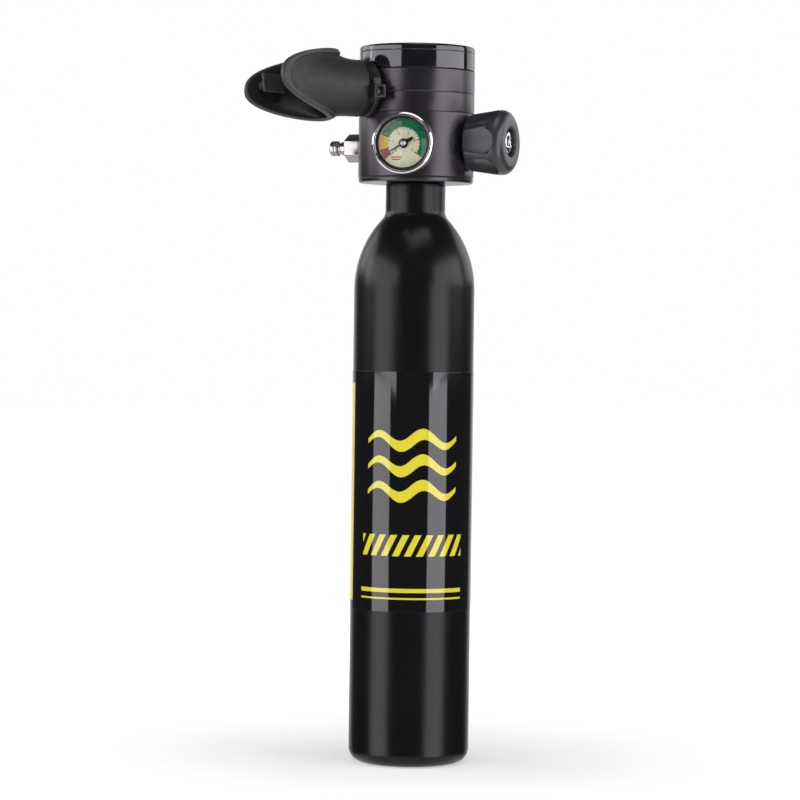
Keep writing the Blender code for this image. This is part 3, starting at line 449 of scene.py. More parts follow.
stub_outline = eased(
    [
        (stub_bore, 24.6, 0.0),
        (stub_radius, 24.6, 0.0),
        (stub_radius, 32.0, 0.0),
        (stub_radius + 0.3, 33.6, 0.1),
        (stub_radius, 33.9, 0.1),
        (stub_radius, 35.0, 0.0),
        (stub_radius + 0.3, 36.6, 0.1),
        (stub_radius - 0.3, stub_end, 0.3),
        (stub_bore, stub_end, 0.3),
    ]
)
stub = place_piece("breathing_stub", spun(stub_outline, 64), head_grey, breathing_place)
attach(stub, "tank_and_head")


# Top ring: a polished, gloss black collar that screws down on the housing and holds the diaphragm and
# the purge button. A hairline groove runs round it just under its rounded top edge.
ring_bottom, ring_top = 344.1, 356.0
ring_bore = 21.3
button_shelf = 350.8
gloss_black = new_finish("gloss_black_ring", (0.006, 0.006, 0.009), 0.08)
shader_of(gloss_black).inputs["Specular IOR Level"].default_value = 1.0
ring_cloud = grain(gloss_black, 90.0)
vary_roughness(gloss_black, ring_cloud, 0.06, 0.1)
vary_colour(gloss_black, ring_cloud, (0.005, 0.005, 0.0075), (0.0075, 0.0075, 0.011))
raise_grain(gloss_black, grain(gloss_black, 60.0, (1.0, 1.0, 0.2), 1.0), 0.00004)

ring_outline = eased(
    [
        (24.0, ring_bottom, 0.0),
        (head_radius, ring_bottom, 0.25),
        (head_radius, ring_top - 3.4, 0.1),
        (head_radius - 0.1, ring_top - 3.2, 0.05),
        (head_radius, ring_top - 3.0, 0.1),
        (head_radius, ring_top, 1.5),
        (ring_bore, ring_top, 0.8),
        (ring_bore, button_shelf, 0.2),
        (24.0, button_shelf, 0.0),
    ],
    6,
)
ring = place_piece("top_collar", spun(ring_outline, 192), gloss_black)
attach(ring, "tank_and_head")
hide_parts("top_ring")


# Purge button: a dished cap moulded in black plastic, with grip rings pressed into its face. It sits
# loose in the ring on its own spring, and a stem under it reaches the diaphragm.
button_face = ring_top - 0.8
button_radius = ring_bore - 0.5


def moulded(name, colour, roughness, grain_height=0.000012):
    """Black moulded plastic with a fine spark-eroded grain and a cloudy sheen."""
    finish = new_finish(name, colour, roughness)
    fine = grain(finish, 3200.0, detail=2.0)
    cloud = grain(finish, 130.0)
    vary_colour(finish, cloud, [c * 0.85 for c in colour], [c * 1.15 for c in colour])
    vary_roughness(finish, cloud, roughness - 0.04, roughness + 0.05)
    raise_grain(finish, fine, grain_height)
    return finish


button_black = moulded("black_button_plastic", (0.012, 0.012, 0.013), 0.42)
button_outline = [(0.0, button_face - 1.5)]
grip_rings, first_ring, ring_pitch, ring_depth = 9, 3.0, 1.75, 0.42
dish_depth, dish_curve = 1.45, 0.0036
for grip_ring in range(grip_rings):
    middle = first_ring + grip_ring * ring_pitch
    height = button_face - dish_depth + dish_curve * middle * middle
    button_outline += [(middle - 0.55, height), (middle - 0.3, height - ring_depth)]
    button_outline += [(middle + 0.3, height - ring_depth), (middle + 0.55, height)]
button_outline += eased(
    [
        (18.2, button_face - 0.15, 0.0),
        (button_radius, button_face, 0.9),
        (button_radius, button_shelf - 0.4, 0.0),
        (23.4, button_shelf - 0.4, 0.2),
        (23.4, button_shelf - 2.4, 0.2),
        (18.5, button_shelf - 2.4, 0.0),
        (18.5, button_face - 3.0, 0.0),
        (3.0, button_face - 3.0, 0.0),
        (3.0, 344.5, 0.3),
    ]
)[:-1]
button_outline += [(2.7, 344.5), (0.0, 344.5)]
button = place_piece("purge_cap", spun(button_outline, 128), button_black, crease=40)
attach(button, "purge")
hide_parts("purge_button")


# Mouthpiece: one moulding of black silicone rubber, pushed over the stub. Its neck opens into a bowed
# and slanted lip flange with a raised rim, and inside each wing a ribbed pad carries an upright bite lug.
mouth_back = 29.2
tube_radius = 14.0
tie_groove_radius = 12.45
tie_back, tie_front = 30.3, 35.1
flange_half_width, flange_half_height = 20.5, 17.5
flange_middle, flange_tip, flange_slant = 47.8, 87.3, 0.186
flange_wall, flange_shift = 2.2, 0.3
rim_height, rim_width = 1.0, 4.6
mouth_roll, mouth_rise = 9.6, 0.023


def sheet_height(x, y):
    """How far out the flange's bowed and slanted sheet stands at a place across it."""
    bow = (abs(x) / flange_half_width) ** 2.2
    return flange_middle + (flange_tip - flange_middle) * bow - flange_slant * y


def flare(neck, rim, share):
    """A point on the curve that leaves the neck along its axis and turns into the sheet."""
    bend = neck.lerp(rim, 0.12)
    bend.z = rim.z + sheet_height(bend.x, bend.y) - sheet_height(rim.x, rim.y)
    return (1 - share) ** 2 * neck + 2 * share * (1 - share) * bend + share**2 * rim


def mouth_section(turn):
    """The wall's closed section at one turn, from the neck out over the rim and back inside."""
    radial = Vector((math.cos(turn), math.sin(turn), 0.0))
    neck_steps = [
        (tube_radius - 0.35, mouth_back),
        (tube_radius, mouth_back + 0.35),
        (tube_radius, tie_back - 0.45),
        (tube_radius - 0.15, tie_back - 0.3),
        (tie_groove_radius, tie_back - 0.25),
        (tie_groove_radius, tie_front + 0.25),
        (tube_radius - 0.15, tie_front + 0.3),
        (tube_radius, tie_front + 0.5),
    ]
    section = [radial * radius + Vector((0, 0, height)) for radius, height in neck_steps]
    x = math.copysign(flange_half_width * abs(radial.x) ** 0.8, radial.x)
    y = math.copysign(flange_half_height * abs(radial.y) ** 0.8, radial.y) + flange_shift
    rim = Vector((x, y, sheet_height(x, y)))
    steepness = (sheet_height(x + 0.01, y) - sheet_height(x - 0.01, y)) / 0.02
    outwards = Vector((steepness, -flange_slant, -1.0)).normalized()
    outer_neck = radial * tube_radius + Vector((0, 0, stub_end))
    inner_neck = radial * (tube_radius - flange_wall) + Vector((0, 0, stub_end + 2.0))
    outer_rim = rim - outwards * rim_height
    inner_rim = outer_rim - outwards * flange_wall
    along = (outer_rim - flare(outer_neck, outer_rim, 0.9)).normalized()
    reach = 10 * (outer_rim - flare(outer_neck, outer_rim, 0.9)).length
    rim_start = max(0.62, 1 - rim_width / reach)
    for share in (0.0, 0.25, 0.5, 0.75, 0.92):
        section.append(flare(outer_neck, outer_rim, rim_start * share))
    foot = flare(outer_neck, outer_rim, rim_start)
    section += [
        foot - along * 0.1,
        foot + along * 0.05 + outwards * rim_height * 0.3,
        foot + along * 0.15 + outwards * rim_height * 0.85,
        foot + along * 0.45 + outwards * rim_height,
        foot.lerp(outer_rim, 0.5) + outwards * (rim_height + 0.05),
        rim - along * 0.75,
        rim - along * 0.2 - outwards * 0.2,
        rim - outwards * 0.75,
        rim.lerp(inner_rim, 0.6),
        inner_rim + outwards * 0.3 - along * 0.15,
        inner_rim - along * 0.7,
    ]
    for share in (0.85, 0.7, 0.55, 0.4, 0.25, 0.1):
        section.append(flare(inner_neck, inner_rim, share))
    bore = stub_radius + 0.6
    section += [inner_neck.copy(), radial * bore + Vector((0, 0, stub_end + 0.8))]
    section += [radial * bore + Vector((0, 0, stub_end + 0.3)), radial * bore + Vector((0, 0, mouth_back))]
    return section


def settle(bm):
    """Clock a piece about the mouthpiece's axis, and let it rise gently beyond the stub."""
    roll = Matrix.Rotation(math.radians(mouth_roll), 4, "Z")
    bmesh.ops.transform(bm, matrix=roll, verts=bm.verts)
    for vert in bm.verts:
        vert.co.y += mouth_rise * max(0.0, vert.co.z - stub_end)


def bevelled_block(low, high, ease, segments=3):
    bm = bmesh.new()
    bmesh.ops.create_cube(bm, size=1.0)
    bmesh.ops.scale(bm, vec=Vector(high) - Vector(low), verts=bm.verts)
    bmesh.ops.translate(bm, vec=(Vector(high) + Vector(low)) / 2, verts=bm.verts)
    bmesh.ops.bevel(
        bm, geom=bm.edges[:], offset=ease, segments=segments, profile=0.5, affect="EDGES", material=-1
    )
    return bm


rubber = new_finish("matt_black_rubber", (0.025, 0.0228, 0.0245), 0.46)
rubber_dust = grain(rubber, 240.0)
rubber_fine = grain(rubber, 2400.0, detail=3.0)
rubber_streaks = grain(rubber, 150.0, (0.12, 1.0, 1.0), 3.0)
vary_colour(rubber, rubber_streaks, (0.0175, 0.016, 0.0172), (0.034, 0.031, 0.0334))
vary_roughness(rubber, rubber_dust, 0.44, 0.58)
raise_grain(rubber, rubber_fine, 0.00003)
shader_of(rubber).inputs["Sheen Weight"].default_value = 0.08
shader_of(rubber).inputs["Sheen Roughness"].default_value = 0.4

# The rim bead takes the same rubber painted lighter than the rest, a painted highlight along the raised
# rim.
rim_rubber_painted_highlight = new_finish("rim_painted_highlight_rubber", (0.045, 0.0415, 0.043), 0.45)
vary_colour(rim_rubber_painted_highlight, grain(rim_rubber_painted_highlight, 220.0), (0.038, 0.035, 0.0362), (0.052, 0.048, 0.0498))
vary_roughness(rim_rubber_painted_highlight, grain(rim_rubber_painted_highlight, 500.0), 0.4, 0.52)
# The inside of the neck and flange is painted much darker than the outer rubber, a painted shade over the
# inside of the mouthpiece.
inner_rubber_painted_shade = new_finish("inner_painted_shade_rubber", (0.008, 0.0075, 0.008), 0.38)
vary_colour(inner_rubber_painted_shade, grain(inner_rubber_painted_shade, 300.0), (0.006, 0.0055, 0.006), (0.011, 0.0105, 0.011))
vary_roughness(inner_rubber_painted_shade, grain(inner_rubber_painted_shade, 160.0), 0.32, 0.46)

mouth_sides = 72
mouth_mesh = spun([(10.0, station) for station in range(len(mouth_section(0.0)))], mouth_sides)
# Faces beyond the band station take the rim's painted highlight, and faces beyond the inside station take
# the painted shade of the inner surface.
band_station, inside_station = 13.5, 22.5
for face in mouth_mesh.faces:
    lowest = min(vert.co.z for vert in face.verts)
    face.material_index = 2 if lowest > inside_station else int(lowest > band_station)
for vert in mouth_mesh.verts:
    station = round(vert.co.z)
    vert.co = mouth_section(math.atan2(vert.co.y, vert.co.x))[station]
settle(mouth_mesh)
mouthpiece = place_piece("mouthpiece_moulding", mouth_mesh, rubber, breathing_place, crease=180)
mouthpiece.data.materials.append(rim_rubber_painted_highlight)
mouthpiece.data.materials.append(inner_rubber_painted_shade)
smoothing = mouthpiece.modifiers.new("smoothing", "SUBSURF")
smoothing.levels = smoothing.render_levels = 1
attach(mouthpiece, "tank_and_head")
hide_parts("mouthpiece")

lug_inside, lug_outside, lug_end = 9.0, 11.2, 82.0
pad_outside, pad_slope = 15.9, 0.3
for side, tab_name in ((1, "near"), (-1, "far")):
    lug_low, lug_high = (side * lug_inside, -2.8, lug_end - 12.0), (side * lug_outside, 6.4, lug_end)
    tab_meshes = {f"{tab_name}_bite_lug": bevelled_block(*zip(*map(sorted, zip(lug_low, lug_high))), 0.6)}
    pad_low = (side * (lug_outside - 1.0), 0.6, lug_end - 11.5)
    pad_high = (side * pad_outside, 3.0, lug_end - 0.8)
    tab_meshes[f"{tab_name}_bite_pad"] = bevelled_block(*zip(*map(sorted, zip(pad_low, pad_high))), 0.4)
    for rib in range(3):
        rib_low = (side * (11.7 + rib * 1.3), 0.1, lug_end - 11.0)
        rib_high = (side * (12.4 + rib * 1.3), 3.5, lug_end - 0.5)
        rib_mesh = bevelled_block(*zip(*map(sorted, zip(rib_low, rib_high))), 0.3)
        tab_meshes[f"{tab_name}_bite_rib_{rib}"] = rib_mesh
    for piece_name, bm in tab_meshes.items():
        if not piece_name.endswith("lug"):
            for vert in bm.verts:
                vert.co.y -= pad_slope * (abs(vert.co.x) - lug_outside)
        settle(bm)
        tab_piece = place_piece(piece_name, bm, rubber, breathing_place, crease=60)
        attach(tab_piece, "tank_and_head")


# Cable tie: a nylon strap pulled tight in the groove round the mouthpiece's neck. Its square catch,
# with the pawl's window, sits on the near side, and the cut end of the strap stands up beside it.
tie_nylon = moulded("black_tie_nylon", (0.014, 0.014, 0.015), 0.24, 0.000006)
tie_inside, tie_outside = 12.75, 14.0
band_outline = eased(
    [
        (tie_inside, tie_back, 0.0),
        (tie_outside, tie_back, 0.2),
        (tie_outside, tie_back + 0.8, 0.15),
        (tie_outside - 0.35, tie_back + 1.0, 0.1),
        (tie_outside - 0.35, tie_front - 1.0, 0.1),
        (tie_outside, tie_front - 0.8, 0.15),
        (tie_outside, tie_front, 0.2),
        (tie_inside, tie_front, 0.0),
    ],
    3,
)
tie_band = place_piece("tie_band", spun(band_outline, 128), tie_nylon, breathing_place)
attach(tie_band, "tank_and_head")
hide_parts("cable_tie")

catch_low, catch_high = (14.0, -5.6, tie_back - 0.9), (18.8, 1.2, tie_front + 0.9)
catch = place_piece("tie_catch", bevelled_block(catch_low, catch_high, 0.5), tie_nylon, breathing_place)
window = place_piece(
    "tie_window",
    bevelled_block((16.6, -4.1, tie_back + 0.7), (20.0, -0.4, tie_front - 0.7), 0.2, 1),
    tie_nylon,
    breathing_place,
)
slot_cutter = place_piece(
    "tie_slot",
    bevelled_block((14.6, -7.0, tie_back + 0.2), (16.1, 3.0, tie_front - 0.2), 0.1, 1),
    tie_nylon,
    breathing_place,
)
carve(catch, window, slot_cutter)
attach(catch, "tank_and_head")
pawl = place_piece(
    "tie_pawl",
    bevelled_block((16.2, -3.6, tie_back + 1.0), (17.6, -1.6, tie_front - 1.0), 0.2, 2),
    tie_nylon,
    breathing_place,
)
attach(pawl, "tank_and_head")
tail = place_piece(
    "tie_tail",
    bevelled_block((14.7, -6.0, tie_back + 0.4), (15.9, 4.6, tie_front - 0.4), 0.25),
    tie_nylon,
    breathing_place,
)
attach(tail, "tank_and_head")
for tooth in range(3):
    tooth_low = (15.7, 1.3 + tooth * 1.1, tie_back + 1.0)
    tooth_high = (16.4, 2.0 + tooth * 1.1, tie_front - 1.0)
    tooth_piece = place_piece(
        f"tie_tooth_{tooth}", bevelled_block(tooth_low, tooth_high, 0.15, 2), tie_nylon, breathing_place
    )
    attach(tooth_piece, "tank_and_head")


# Shut-off knob: a black moulding that swells towards a rounded nose, with deep scoops for the fingers
# that end in a round arch. It is pressed on the spindle's square and held by a chrome nut.
knob_place = port_place(knob_bearing, knob_height)
knob_back, knob_front = 29.6, 50.5
knob_back_radius, knob_radius, knob_nose = 14.0, 16.0, 4.6
knob_recess, recess_floor = 7.0, 46.0
scoop_count = 6
scoop_back_half, scoop_front_half = 4.75, 7.0
scoop_back_floor, scoop_front_floor = 13.0, 14.2
scoop_start, arch_start, arch_end = 27.6, 40.6, 46.6
scoop_edge, scoop_hollow = 0.5, 0.9


def fine(outline, spacing):
    """An outline with points added so that none are further apart than the spacing."""
    points = [outline[0]]
    for start, end in zip(outline, outline[1:]):
        parts = max(1, math.ceil((Vector(end) - Vector(start)).length / spacing))
        points += [tuple(Vector(start).lerp(Vector(end), part / parts)) for part in range(1, parts + 1)]
    return points


def scooped(spot):
    """Where a point of the knob's skin goes once the finger scoops are pressed in."""
    turn = math.atan2(spot.y, spot.x)
    nearest = round(turn / math.tau * scoop_count) * math.tau / scoop_count
    local = Matrix.Rotation(-nearest, 3, "Z") @ spot
    share = (local.z - scoop_start) / (arch_start - scoop_start)
    half = scoop_back_half + (scoop_front_half - scoop_back_half) * min(share, 1.0)
    if local.z <= arch_start:
        inside = half - abs(local.y)
    else:
        stretch = Vector((local.y / scoop_front_half, (local.z - arch_start) / (arch_end - arch_start)))
        inside = (1.0 - stretch.length) * (arch_end - arch_start)
    press = min(max(inside / scoop_edge, 0.0), 1.0)
    press = press * press * (3.0 - 2.0 * press)
    floor_share = (local.z - scoop_start) / (arch_end - scoop_start)
    floor = scoop_back_floor + (scoop_front_floor - scoop_back_floor) * floor_share
    floor -= scoop_hollow * max(0.0, 1.0 - (local.y / half) ** 2)
    if local.x > floor:
        local.x += (floor - local.x) * press
    return Matrix.Rotation(nearest, 3, "Z") @ local


knob_black = moulded("black_knob_plastic", (0.031, 0.0298, 0.035), 0.32)
shader_of(knob_black).inputs["Specular IOR Level"].default_value = 0.75
knob_skin = [(knob_back_radius, knob_back + 0.8), (knob_radius, knob_front - knob_nose - 1.4)]
knob_skin += arc(knob_radius - knob_nose, knob_front - knob_nose, knob_nose, 0, 90, 18)
knob_outline = [(7.3, knob_back), (knob_back_radius - 0.8, knob_back), *fine(knob_skin, 0.38)]
knob_outline += eased(
    [
        (knob_recess + 3.0, knob_front, 0.0),
        (knob_recess, knob_front, 0.9),
        (knob_recess, recess_floor, 0.3),
        (3.35, recess_floor, 0.0),
        (3.35, 34.0, 0.0),
        (7.3, 34.0, 0.0),
    ]
)
knob_mesh = spun(knob_outline, 288)
for vert in knob_mesh.verts:
    if vert.co.to_2d().length > 11.0 and vert.co.z < arch_end + 0.2:
        vert.co = scooped(vert.co)
knob = place_piece("knob_grip", knob_mesh, knob_black, knob_place, crease=50)
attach(knob, "knob")
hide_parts("valve_knob")


def hexagon(across_flats, bottom, top, ease):
    """A hexagonal bar along Z with its edges eased."""
    bm = bmesh.new()
    corner = across_flats / 2 / math.cos(math.pi / 6)
    bmesh.ops.create_cone(bm, cap_ends=True, segments=6, radius1=corner, radius2=corner, depth=top - bottom)
    bmesh.ops.translate(bm, vec=(0, 0, (top + bottom) / 2), verts=bm.verts)
    bmesh.ops.bevel(
        bm, geom=bm.edges[:], offset=ease, segments=3, profile=0.5, affect="EDGES", material=-1
    )
    return bm


def plated(name, colour, low, high):
    """Polished plating: bright metal with the slightest haze and ripple."""
    finish = new_finish(name, colour, low, 1.0)
    haze = grain(finish, 180.0)
    vary_colour(finish, haze, [c * 0.94 for c in colour], colour)
    vary_roughness(finish, haze, low, high)
    raise_grain(finish, grain(finish, 60.0, detail=0.0), 0.000002)
    return finish


chrome = plated("chrome_plate", (0.93, 0.93, 0.94), 0.05, 0.1)
nut = place_piece("knob_cap_nut", hexagon(10.0, recess_floor + 0.3, 49.4, 0.7), chrome, knob_place)
nut_hole = place_piece(
    "nut_hole",
    spun([(0.0, 44.0), (2.4, 44.0), (2.4, 48.0), (1.35, 48.0), (1.35, 52.0), (0.0, 52.0)], 32),
    chrome,
    knob_place,
)
carve(nut, nut_hole)
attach(nut, "knob")
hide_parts("knob_nut")


# Gauge: a small pressure gauge on a brass stem. A steel case carries a rolled chrome bezel, a clear
# acrylic lens on a black gasket, a printed dial, and a needle on a staked hub.
gauge_place = port_place(gauge_bearing, port_height)


def turned_metal(name, colour, roughness, rings=0.000005):
    """Bare metal from a lathe: bright, with short rubbed streaks and a changing polish."""
    finish = new_finish(name, colour, roughness, 1.0)
    streaks = grain(finish, 700.0, (1.0, 1.0, 0.15), 3.0)
    cloud = grain(finish, 160.0)
    vary_colour(finish, cloud, [c * 0.88 for c in colour], [min(1.0, c * 1.06) for c in colour])
    vary_roughness(finish, cloud, roughness - 0.05, roughness + 0.08)
    raise_grain(finish, streaks, rings)
    return finish


stainless = turned_metal("stainless_steel", (0.48, 0.465, 0.45), 0.2, 0.000002)
case_outline = eased(
    [
        (2.3, 31.2, 0.0),
        (14.2, 31.2, 1.2),
        (14.2, 38.0, 0.1),
        (13.0, 38.0, 0.1),
        (13.0, 32.4, 0.3),
        (2.3, 32.4, 0.0),
    ]
)
case = place_piece("gauge_can", spun(case_outline, 96), stainless, gauge_place)
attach(case, "tank_and_head")
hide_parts("gauge_case")

bezel_outline = eased(
    [
        (14.5, 33.2, 0.0),
        (15.0, 33.2, 0.15),
        (15.0, 39.15, 0.25),
        (14.15, 39.75, 0.15),
        (14.05, 39.25, 0.05),
        (13.75, 39.25, 0.05),
        (13.55, 39.65, 0.18),
        (13.3, 39.2, 0.1),
        (13.3, 38.3, 0.05),
        (14.5, 38.3, 0.0),
    ],
    6,
)
bezel = place_piece("gauge_rim", spun(bezel_outline, 128), chrome, gauge_place, crease=45)
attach(bezel, "tank_and_head")
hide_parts("gauge_bezel")

# The black of the lens gasket also makes a thin ring laid in the bezel's groove, a painted shade between
# the bezel's two bright crests.
black_gasket_and_groove_shade = moulded("black_gasket_and_groove_shade", (0.006, 0.006, 0.006), 0.5)
gasket_and_groove_shade_rings = {
    "lens_gasket": [(11.9, 37.95), (13.25, 37.95), (13.25, 38.9), (12.1, 38.6)],
    "bezel_groove_painted_shade": [(13.78, 39.2), (14.04, 39.2), (14.04, 39.34), (13.78, 39.34)],
}
for ring_name, ring_outline in gasket_and_groove_shade_rings.items():
    dark_ring_piece = place_piece(ring_name, spun(ring_outline, 128), black_gasket_and_groove_shade, gauge_place)
    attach(dark_ring_piece, "tank_and_head")

dial_radius, dial_face, print_lift = 12.7, 34.9, 0.06
dial_cream = new_finish("cream_dial_card", (0.66, 0.67, 0.45), 0.6)
shader_of(dial_cream).inputs["Specular IOR Level"].default_value = 0.2
vary_colour(dial_cream, grain(dial_cream, 500.0), (0.63, 0.645, 0.43), (0.69, 0.7, 0.475))
dial = place_piece("dial_card", rod(dial_radius, 34.4, dial_face, 96, 1.0), dial_cream, gauge_place)
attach(dial, "tank_and_head")
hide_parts("gauge_dial")


def ink(name, colour):
    """Printing ink on the dial, a little uneven."""
    finish = new_finish(name, colour, 0.6)
    shader_of(finish).inputs["Specular IOR Level"].default_value = 0.15
    vary_colour(finish, grain(finish, 900.0), [c * 0.85 for c in colour], colour)
    return finish


def dial_band(name, finish, low_radius, high_radius, start, end, lift=0.05):
    """A printed band of the dial between two radii, clockwise from start to end in degrees."""
    bm = bmesh.new()
    top = dial_face + lift
    corners = [(low_radius, dial_face), (high_radius, dial_face), (high_radius, top), (low_radius, top)]
    section = bm.faces.new([bm.verts.new((radius, 0.0, height)) for radius, height in corners])
    turn = Matrix.Rotation(math.radians(start), 3, "Z")
    bmesh.ops.rotate(bm, cent=(0, 0, 0), matrix=turn, verts=bm.verts)
    steps = max(2, int(abs(end - start) / 3))
    bmesh.ops.spin(
        bm,
        geom=[section, *section.edges, *section.verts],
        cent=(0, 0, 0),
        axis=(0, 0, 1),
        angle=math.radians(end - start),
        steps=steps,
    )
    piece = place_piece(name, bm, finish, gauge_place)
    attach(piece, "tank_and_head")


band_in, band_out = 7.8, 11.9
dial_green = ink("dial_green", (0.0, 0.16, 0.062))
dial_yellow = ink("dial_yellow", (0.66, 0.45, 0.0))
dial_red = ink("dial_red", (0.3, 0.012, 0.015))
dial_black = ink("dial_black", (0.012, 0.012, 0.014))
dial_band("red_band", dial_red, band_in, band_out, 221.0, 195.0)
dial_band("yellow_band", dial_yellow, band_in, band_out, 194.4, 160.0)
dial_band("green_band", dial_green, band_in, band_out, 154.0, -38.0)
dial_band("band_divider", dial_black, band_in, band_out, 159.4, 154.6)
scale_start, scale_sweep, scale_parts = 221.0, 259.0, 5
for mark in range(scale_parts * 4 + 1):
    mark_angle = scale_start - scale_sweep * mark / (scale_parts * 4)
    long_mark = mark % 4 == 0
    dial_band(
        f"scale_mark_{mark}",
        dial_red if mark < 4 else dial_black,
        6.5 if long_mark else 7.1,
        band_in,
        mark_angle + (1.7 if long_mark else 1.1),
        mark_angle - (1.7 if long_mark else 1.1),
        print_lift,
    )


def dial_number(words, size, radius, angle, finish):
    """A plain number printed upright on the dial, its middle at a radius and angle."""
    text = bpy.data.curves.new(f"number_{words}", "FONT")
    text.body = words
    text.size = size
    text.align_x, text.align_y = "CENTER", "CENTER"
    text.extrude = 0.03
    drawn = bpy.data.objects.new(f"number_{words}", text)
    bpy.context.scene.collection.objects.link(drawn)
    seen = drawn.evaluated_get(bpy.context.evaluated_depsgraph_get())
    bm = bmesh.new()
    bm.from_mesh(bpy.data.meshes.new_from_object(seen))
    bpy.data.objects.remove(drawn)
    turn = math.radians(angle)
    middle = (radius * math.cos(turn), radius * math.sin(turn), dial_face + print_lift)
    bmesh.ops.translate(bm, vec=middle, verts=bm.verts)
    piece = place_piece(f"dial_number_{words}", bm, finish, gauge_place)
    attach(piece, "tank_and_head")


for mark in range(scale_parts + 1):
    mark_angle = scale_start - scale_sweep * mark / scale_parts
    dial_number(str(mark), 2.1, 5.2, mark_angle, dial_black)
for mark in range(2, scale_parts + 1):
    mark_angle = scale_start - scale_sweep * (mark - 0.5) / scale_parts
    dial_number(str(mark * 50), 1.75, 9.9, mark_angle, dial_black)
dash_middle, dash_half_height = -3.6, 0.28
for line, (dash_y, dash_half) in enumerate(((-6.6, 2.6), (-7.7, 2.2))):
    dash_low = (dash_middle - dash_half, dash_y - dash_half_height, dial_face)
    dash_high = (dash_middle + dash_half, dash_y + dash_half_height, dial_face + print_lift)
    dash_mesh = bevelled_block(dash_low, dash_high, 0.02, 1)
    dash = place_piece(f"dial_dash_{line}", dash_mesh, dial_red, gauge_place)
    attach(dash, "tank_and_head")

needle_angle = 210.6
needle_black = ink("needle_black", (0.008, 0.008, 0.009))
needle_outline = [
    (-5.2, -0.55), (-5.6, 0.0), (-5.2, 0.55), (-2.4, 0.95), (-1.5, 0.6), (0.0, 0.62),
    (8.8, 0.16), (8.8, -0.16), (0.0, -0.62), (-1.5, -0.6), (-2.4, -0.95),
]
bm = bmesh.new()
blade = bm.faces.new([bm.verts.new((x, y, 35.65)) for x, y in needle_outline])
grown = bmesh.ops.extrude_face_region(bm, geom=[blade])
moved = [item for item in grown["geom"] if isinstance(item, bmesh.types.BMVert)]
bmesh.ops.translate(bm, vec=(0, 0, 0.4), verts=moved)
bmesh.ops.recalc_face_normals(bm, faces=bm.faces)
bmesh.ops.bevel(bm, geom=bm.edges[:], offset=0.06, segments=2, profile=0.5, affect="EDGES", material=-1)
needle_turn = Matrix.Rotation(math.radians(needle_angle), 3, "Z")
bmesh.ops.rotate(bm, cent=(0, 0, 0), matrix=needle_turn, verts=bm.verts)
needle = place_piece("needle_blade", bm, needle_black, gauge_place)
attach(needle, "needle")
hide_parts("gauge_needle")

hub_outline = [(0.0, 33.2), (0.6, 33.2), (0.6, 35.3)]
hub_outline += eased(
    [(1.0, 35.3, 0.0), (1.4, 35.3, 0.1), (1.4, 36.4, 0.3), (0.55, 36.55, 0.1), (0.55, 36.3, 0.0)]
)
hub_outline += [(0.0, 36.3)]
hub = place_piece("needle_hub", spun(hub_outline, 40), stainless, gauge_place)
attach(hub, "needle")
boss_outline = eased([(1.3, 35.5, 0.0), (2.3, 35.5, 0.1), (2.3, 36.15, 0.2), (1.3, 36.15, 0.0)])
boss = place_piece("needle_boss", spun(boss_outline, 48), needle_black, gauge_place)
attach(boss, "needle")


def join_shaders(finish, joint, first, second):
    """Feed two shaders to a mix or add node and send what it gives to the surface."""
    links = finish.node_tree.links
    ways_in = [socket for socket in joint.inputs if socket.type == "SHADER"]
    for socket, shader in zip(ways_in, (first, second)):
        links.new(shader.outputs[0], socket)
    links.new(joint.outputs[0], finish.node_tree.nodes["Material Output"].inputs["Surface"])


clear_lens = new_finish("clear_acrylic_lens", (1.0, 1.0, 1.0), 0.02)
shader_of(clear_lens).inputs["Transmission Weight"].default_value = 1.0
shader_of(clear_lens).inputs["IOR"].default_value = 1.49
shader_of(clear_lens).inputs["Specular IOR Level"].default_value = 0.2
raise_grain(clear_lens, grain(clear_lens, 120.0, detail=1.0), 0.000002)
lens_ray = add_node(clear_lens, "ShaderNodeLightPath").outputs["Is Shadow Ray"]
lens_open = add_node(clear_lens, "ShaderNodeBsdfTransparent")
lens_mix = add_node(clear_lens, "ShaderNodeMixShader", Fac=lens_ray)
join_shaders(clear_lens, lens_mix, shader_of(clear_lens), lens_open)
lens_outline = eased([(0.0, 37.1, 0.0), (12.6, 37.1, 0.15), (12.6, 37.9, 0.15), (0.0, 37.9, 0.0)])
lens = place_piece("gauge_glass", spun(lens_outline, 96), clear_lens, gauge_place)
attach(lens, "tank_and_head")
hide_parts("gauge_lens")


# Fill nipple: a stainless quick-connect plug. A hexagon seats on the block, and beyond it a spine, a
# groove for the coupler's balls and a blunt plug are turned in one; a check valve sits inside.
nipple_place = port_place(nipple_bearing, port_height)
hexagon_flats, hexagon_back, hexagon_front = 12.6, 28.2, 36.8
nipple_bore = 1.6
nipple_hexagon = place_piece(
    "nipple_hexagon", hexagon(hexagon_flats, hexagon_back, hexagon_front, 0.55), stainless, nipple_place
)
nipple_way = place_piece("nipple_way", rod(nipple_bore, 26.0, 40.0, 32), stainless, nipple_place)
carve(nipple_hexagon, nipple_way)
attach(nipple_hexagon, "tank_and_head")
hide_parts("fill_nipple")
plug_outline = eased(
    [
        (nipple_bore, 36.6, 0.0),
        (3.9, 36.6, 0.0),
        (3.9, 37.4, 0.2),
        (3.4, 37.7, 0.1),
        (3.4, 40.0, 0.25),
        (2.7, 40.5, 0.25),
        (2.7, 41.5, 0.25),
        (3.8, 42.0, 0.25),
        (3.8, 43.3, 0.1),
        (3.55, 43.5, 0.05),
        (3.8, 43.7, 0.1),
        (3.8, 46.0, 0.9),
        (nipple_bore, 46.0, 0.3),
    ]
)
plug = place_piece("nipple_plug", spun(plug_outline, 64), stainless, nipple_place)
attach(plug, "tank_and_head")
shank = place_piece("nipple_shank", rod(4.7, 17.0, 28.4, 40, 2.6), stainless, nipple_place)
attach(shank, "tank_and_head")


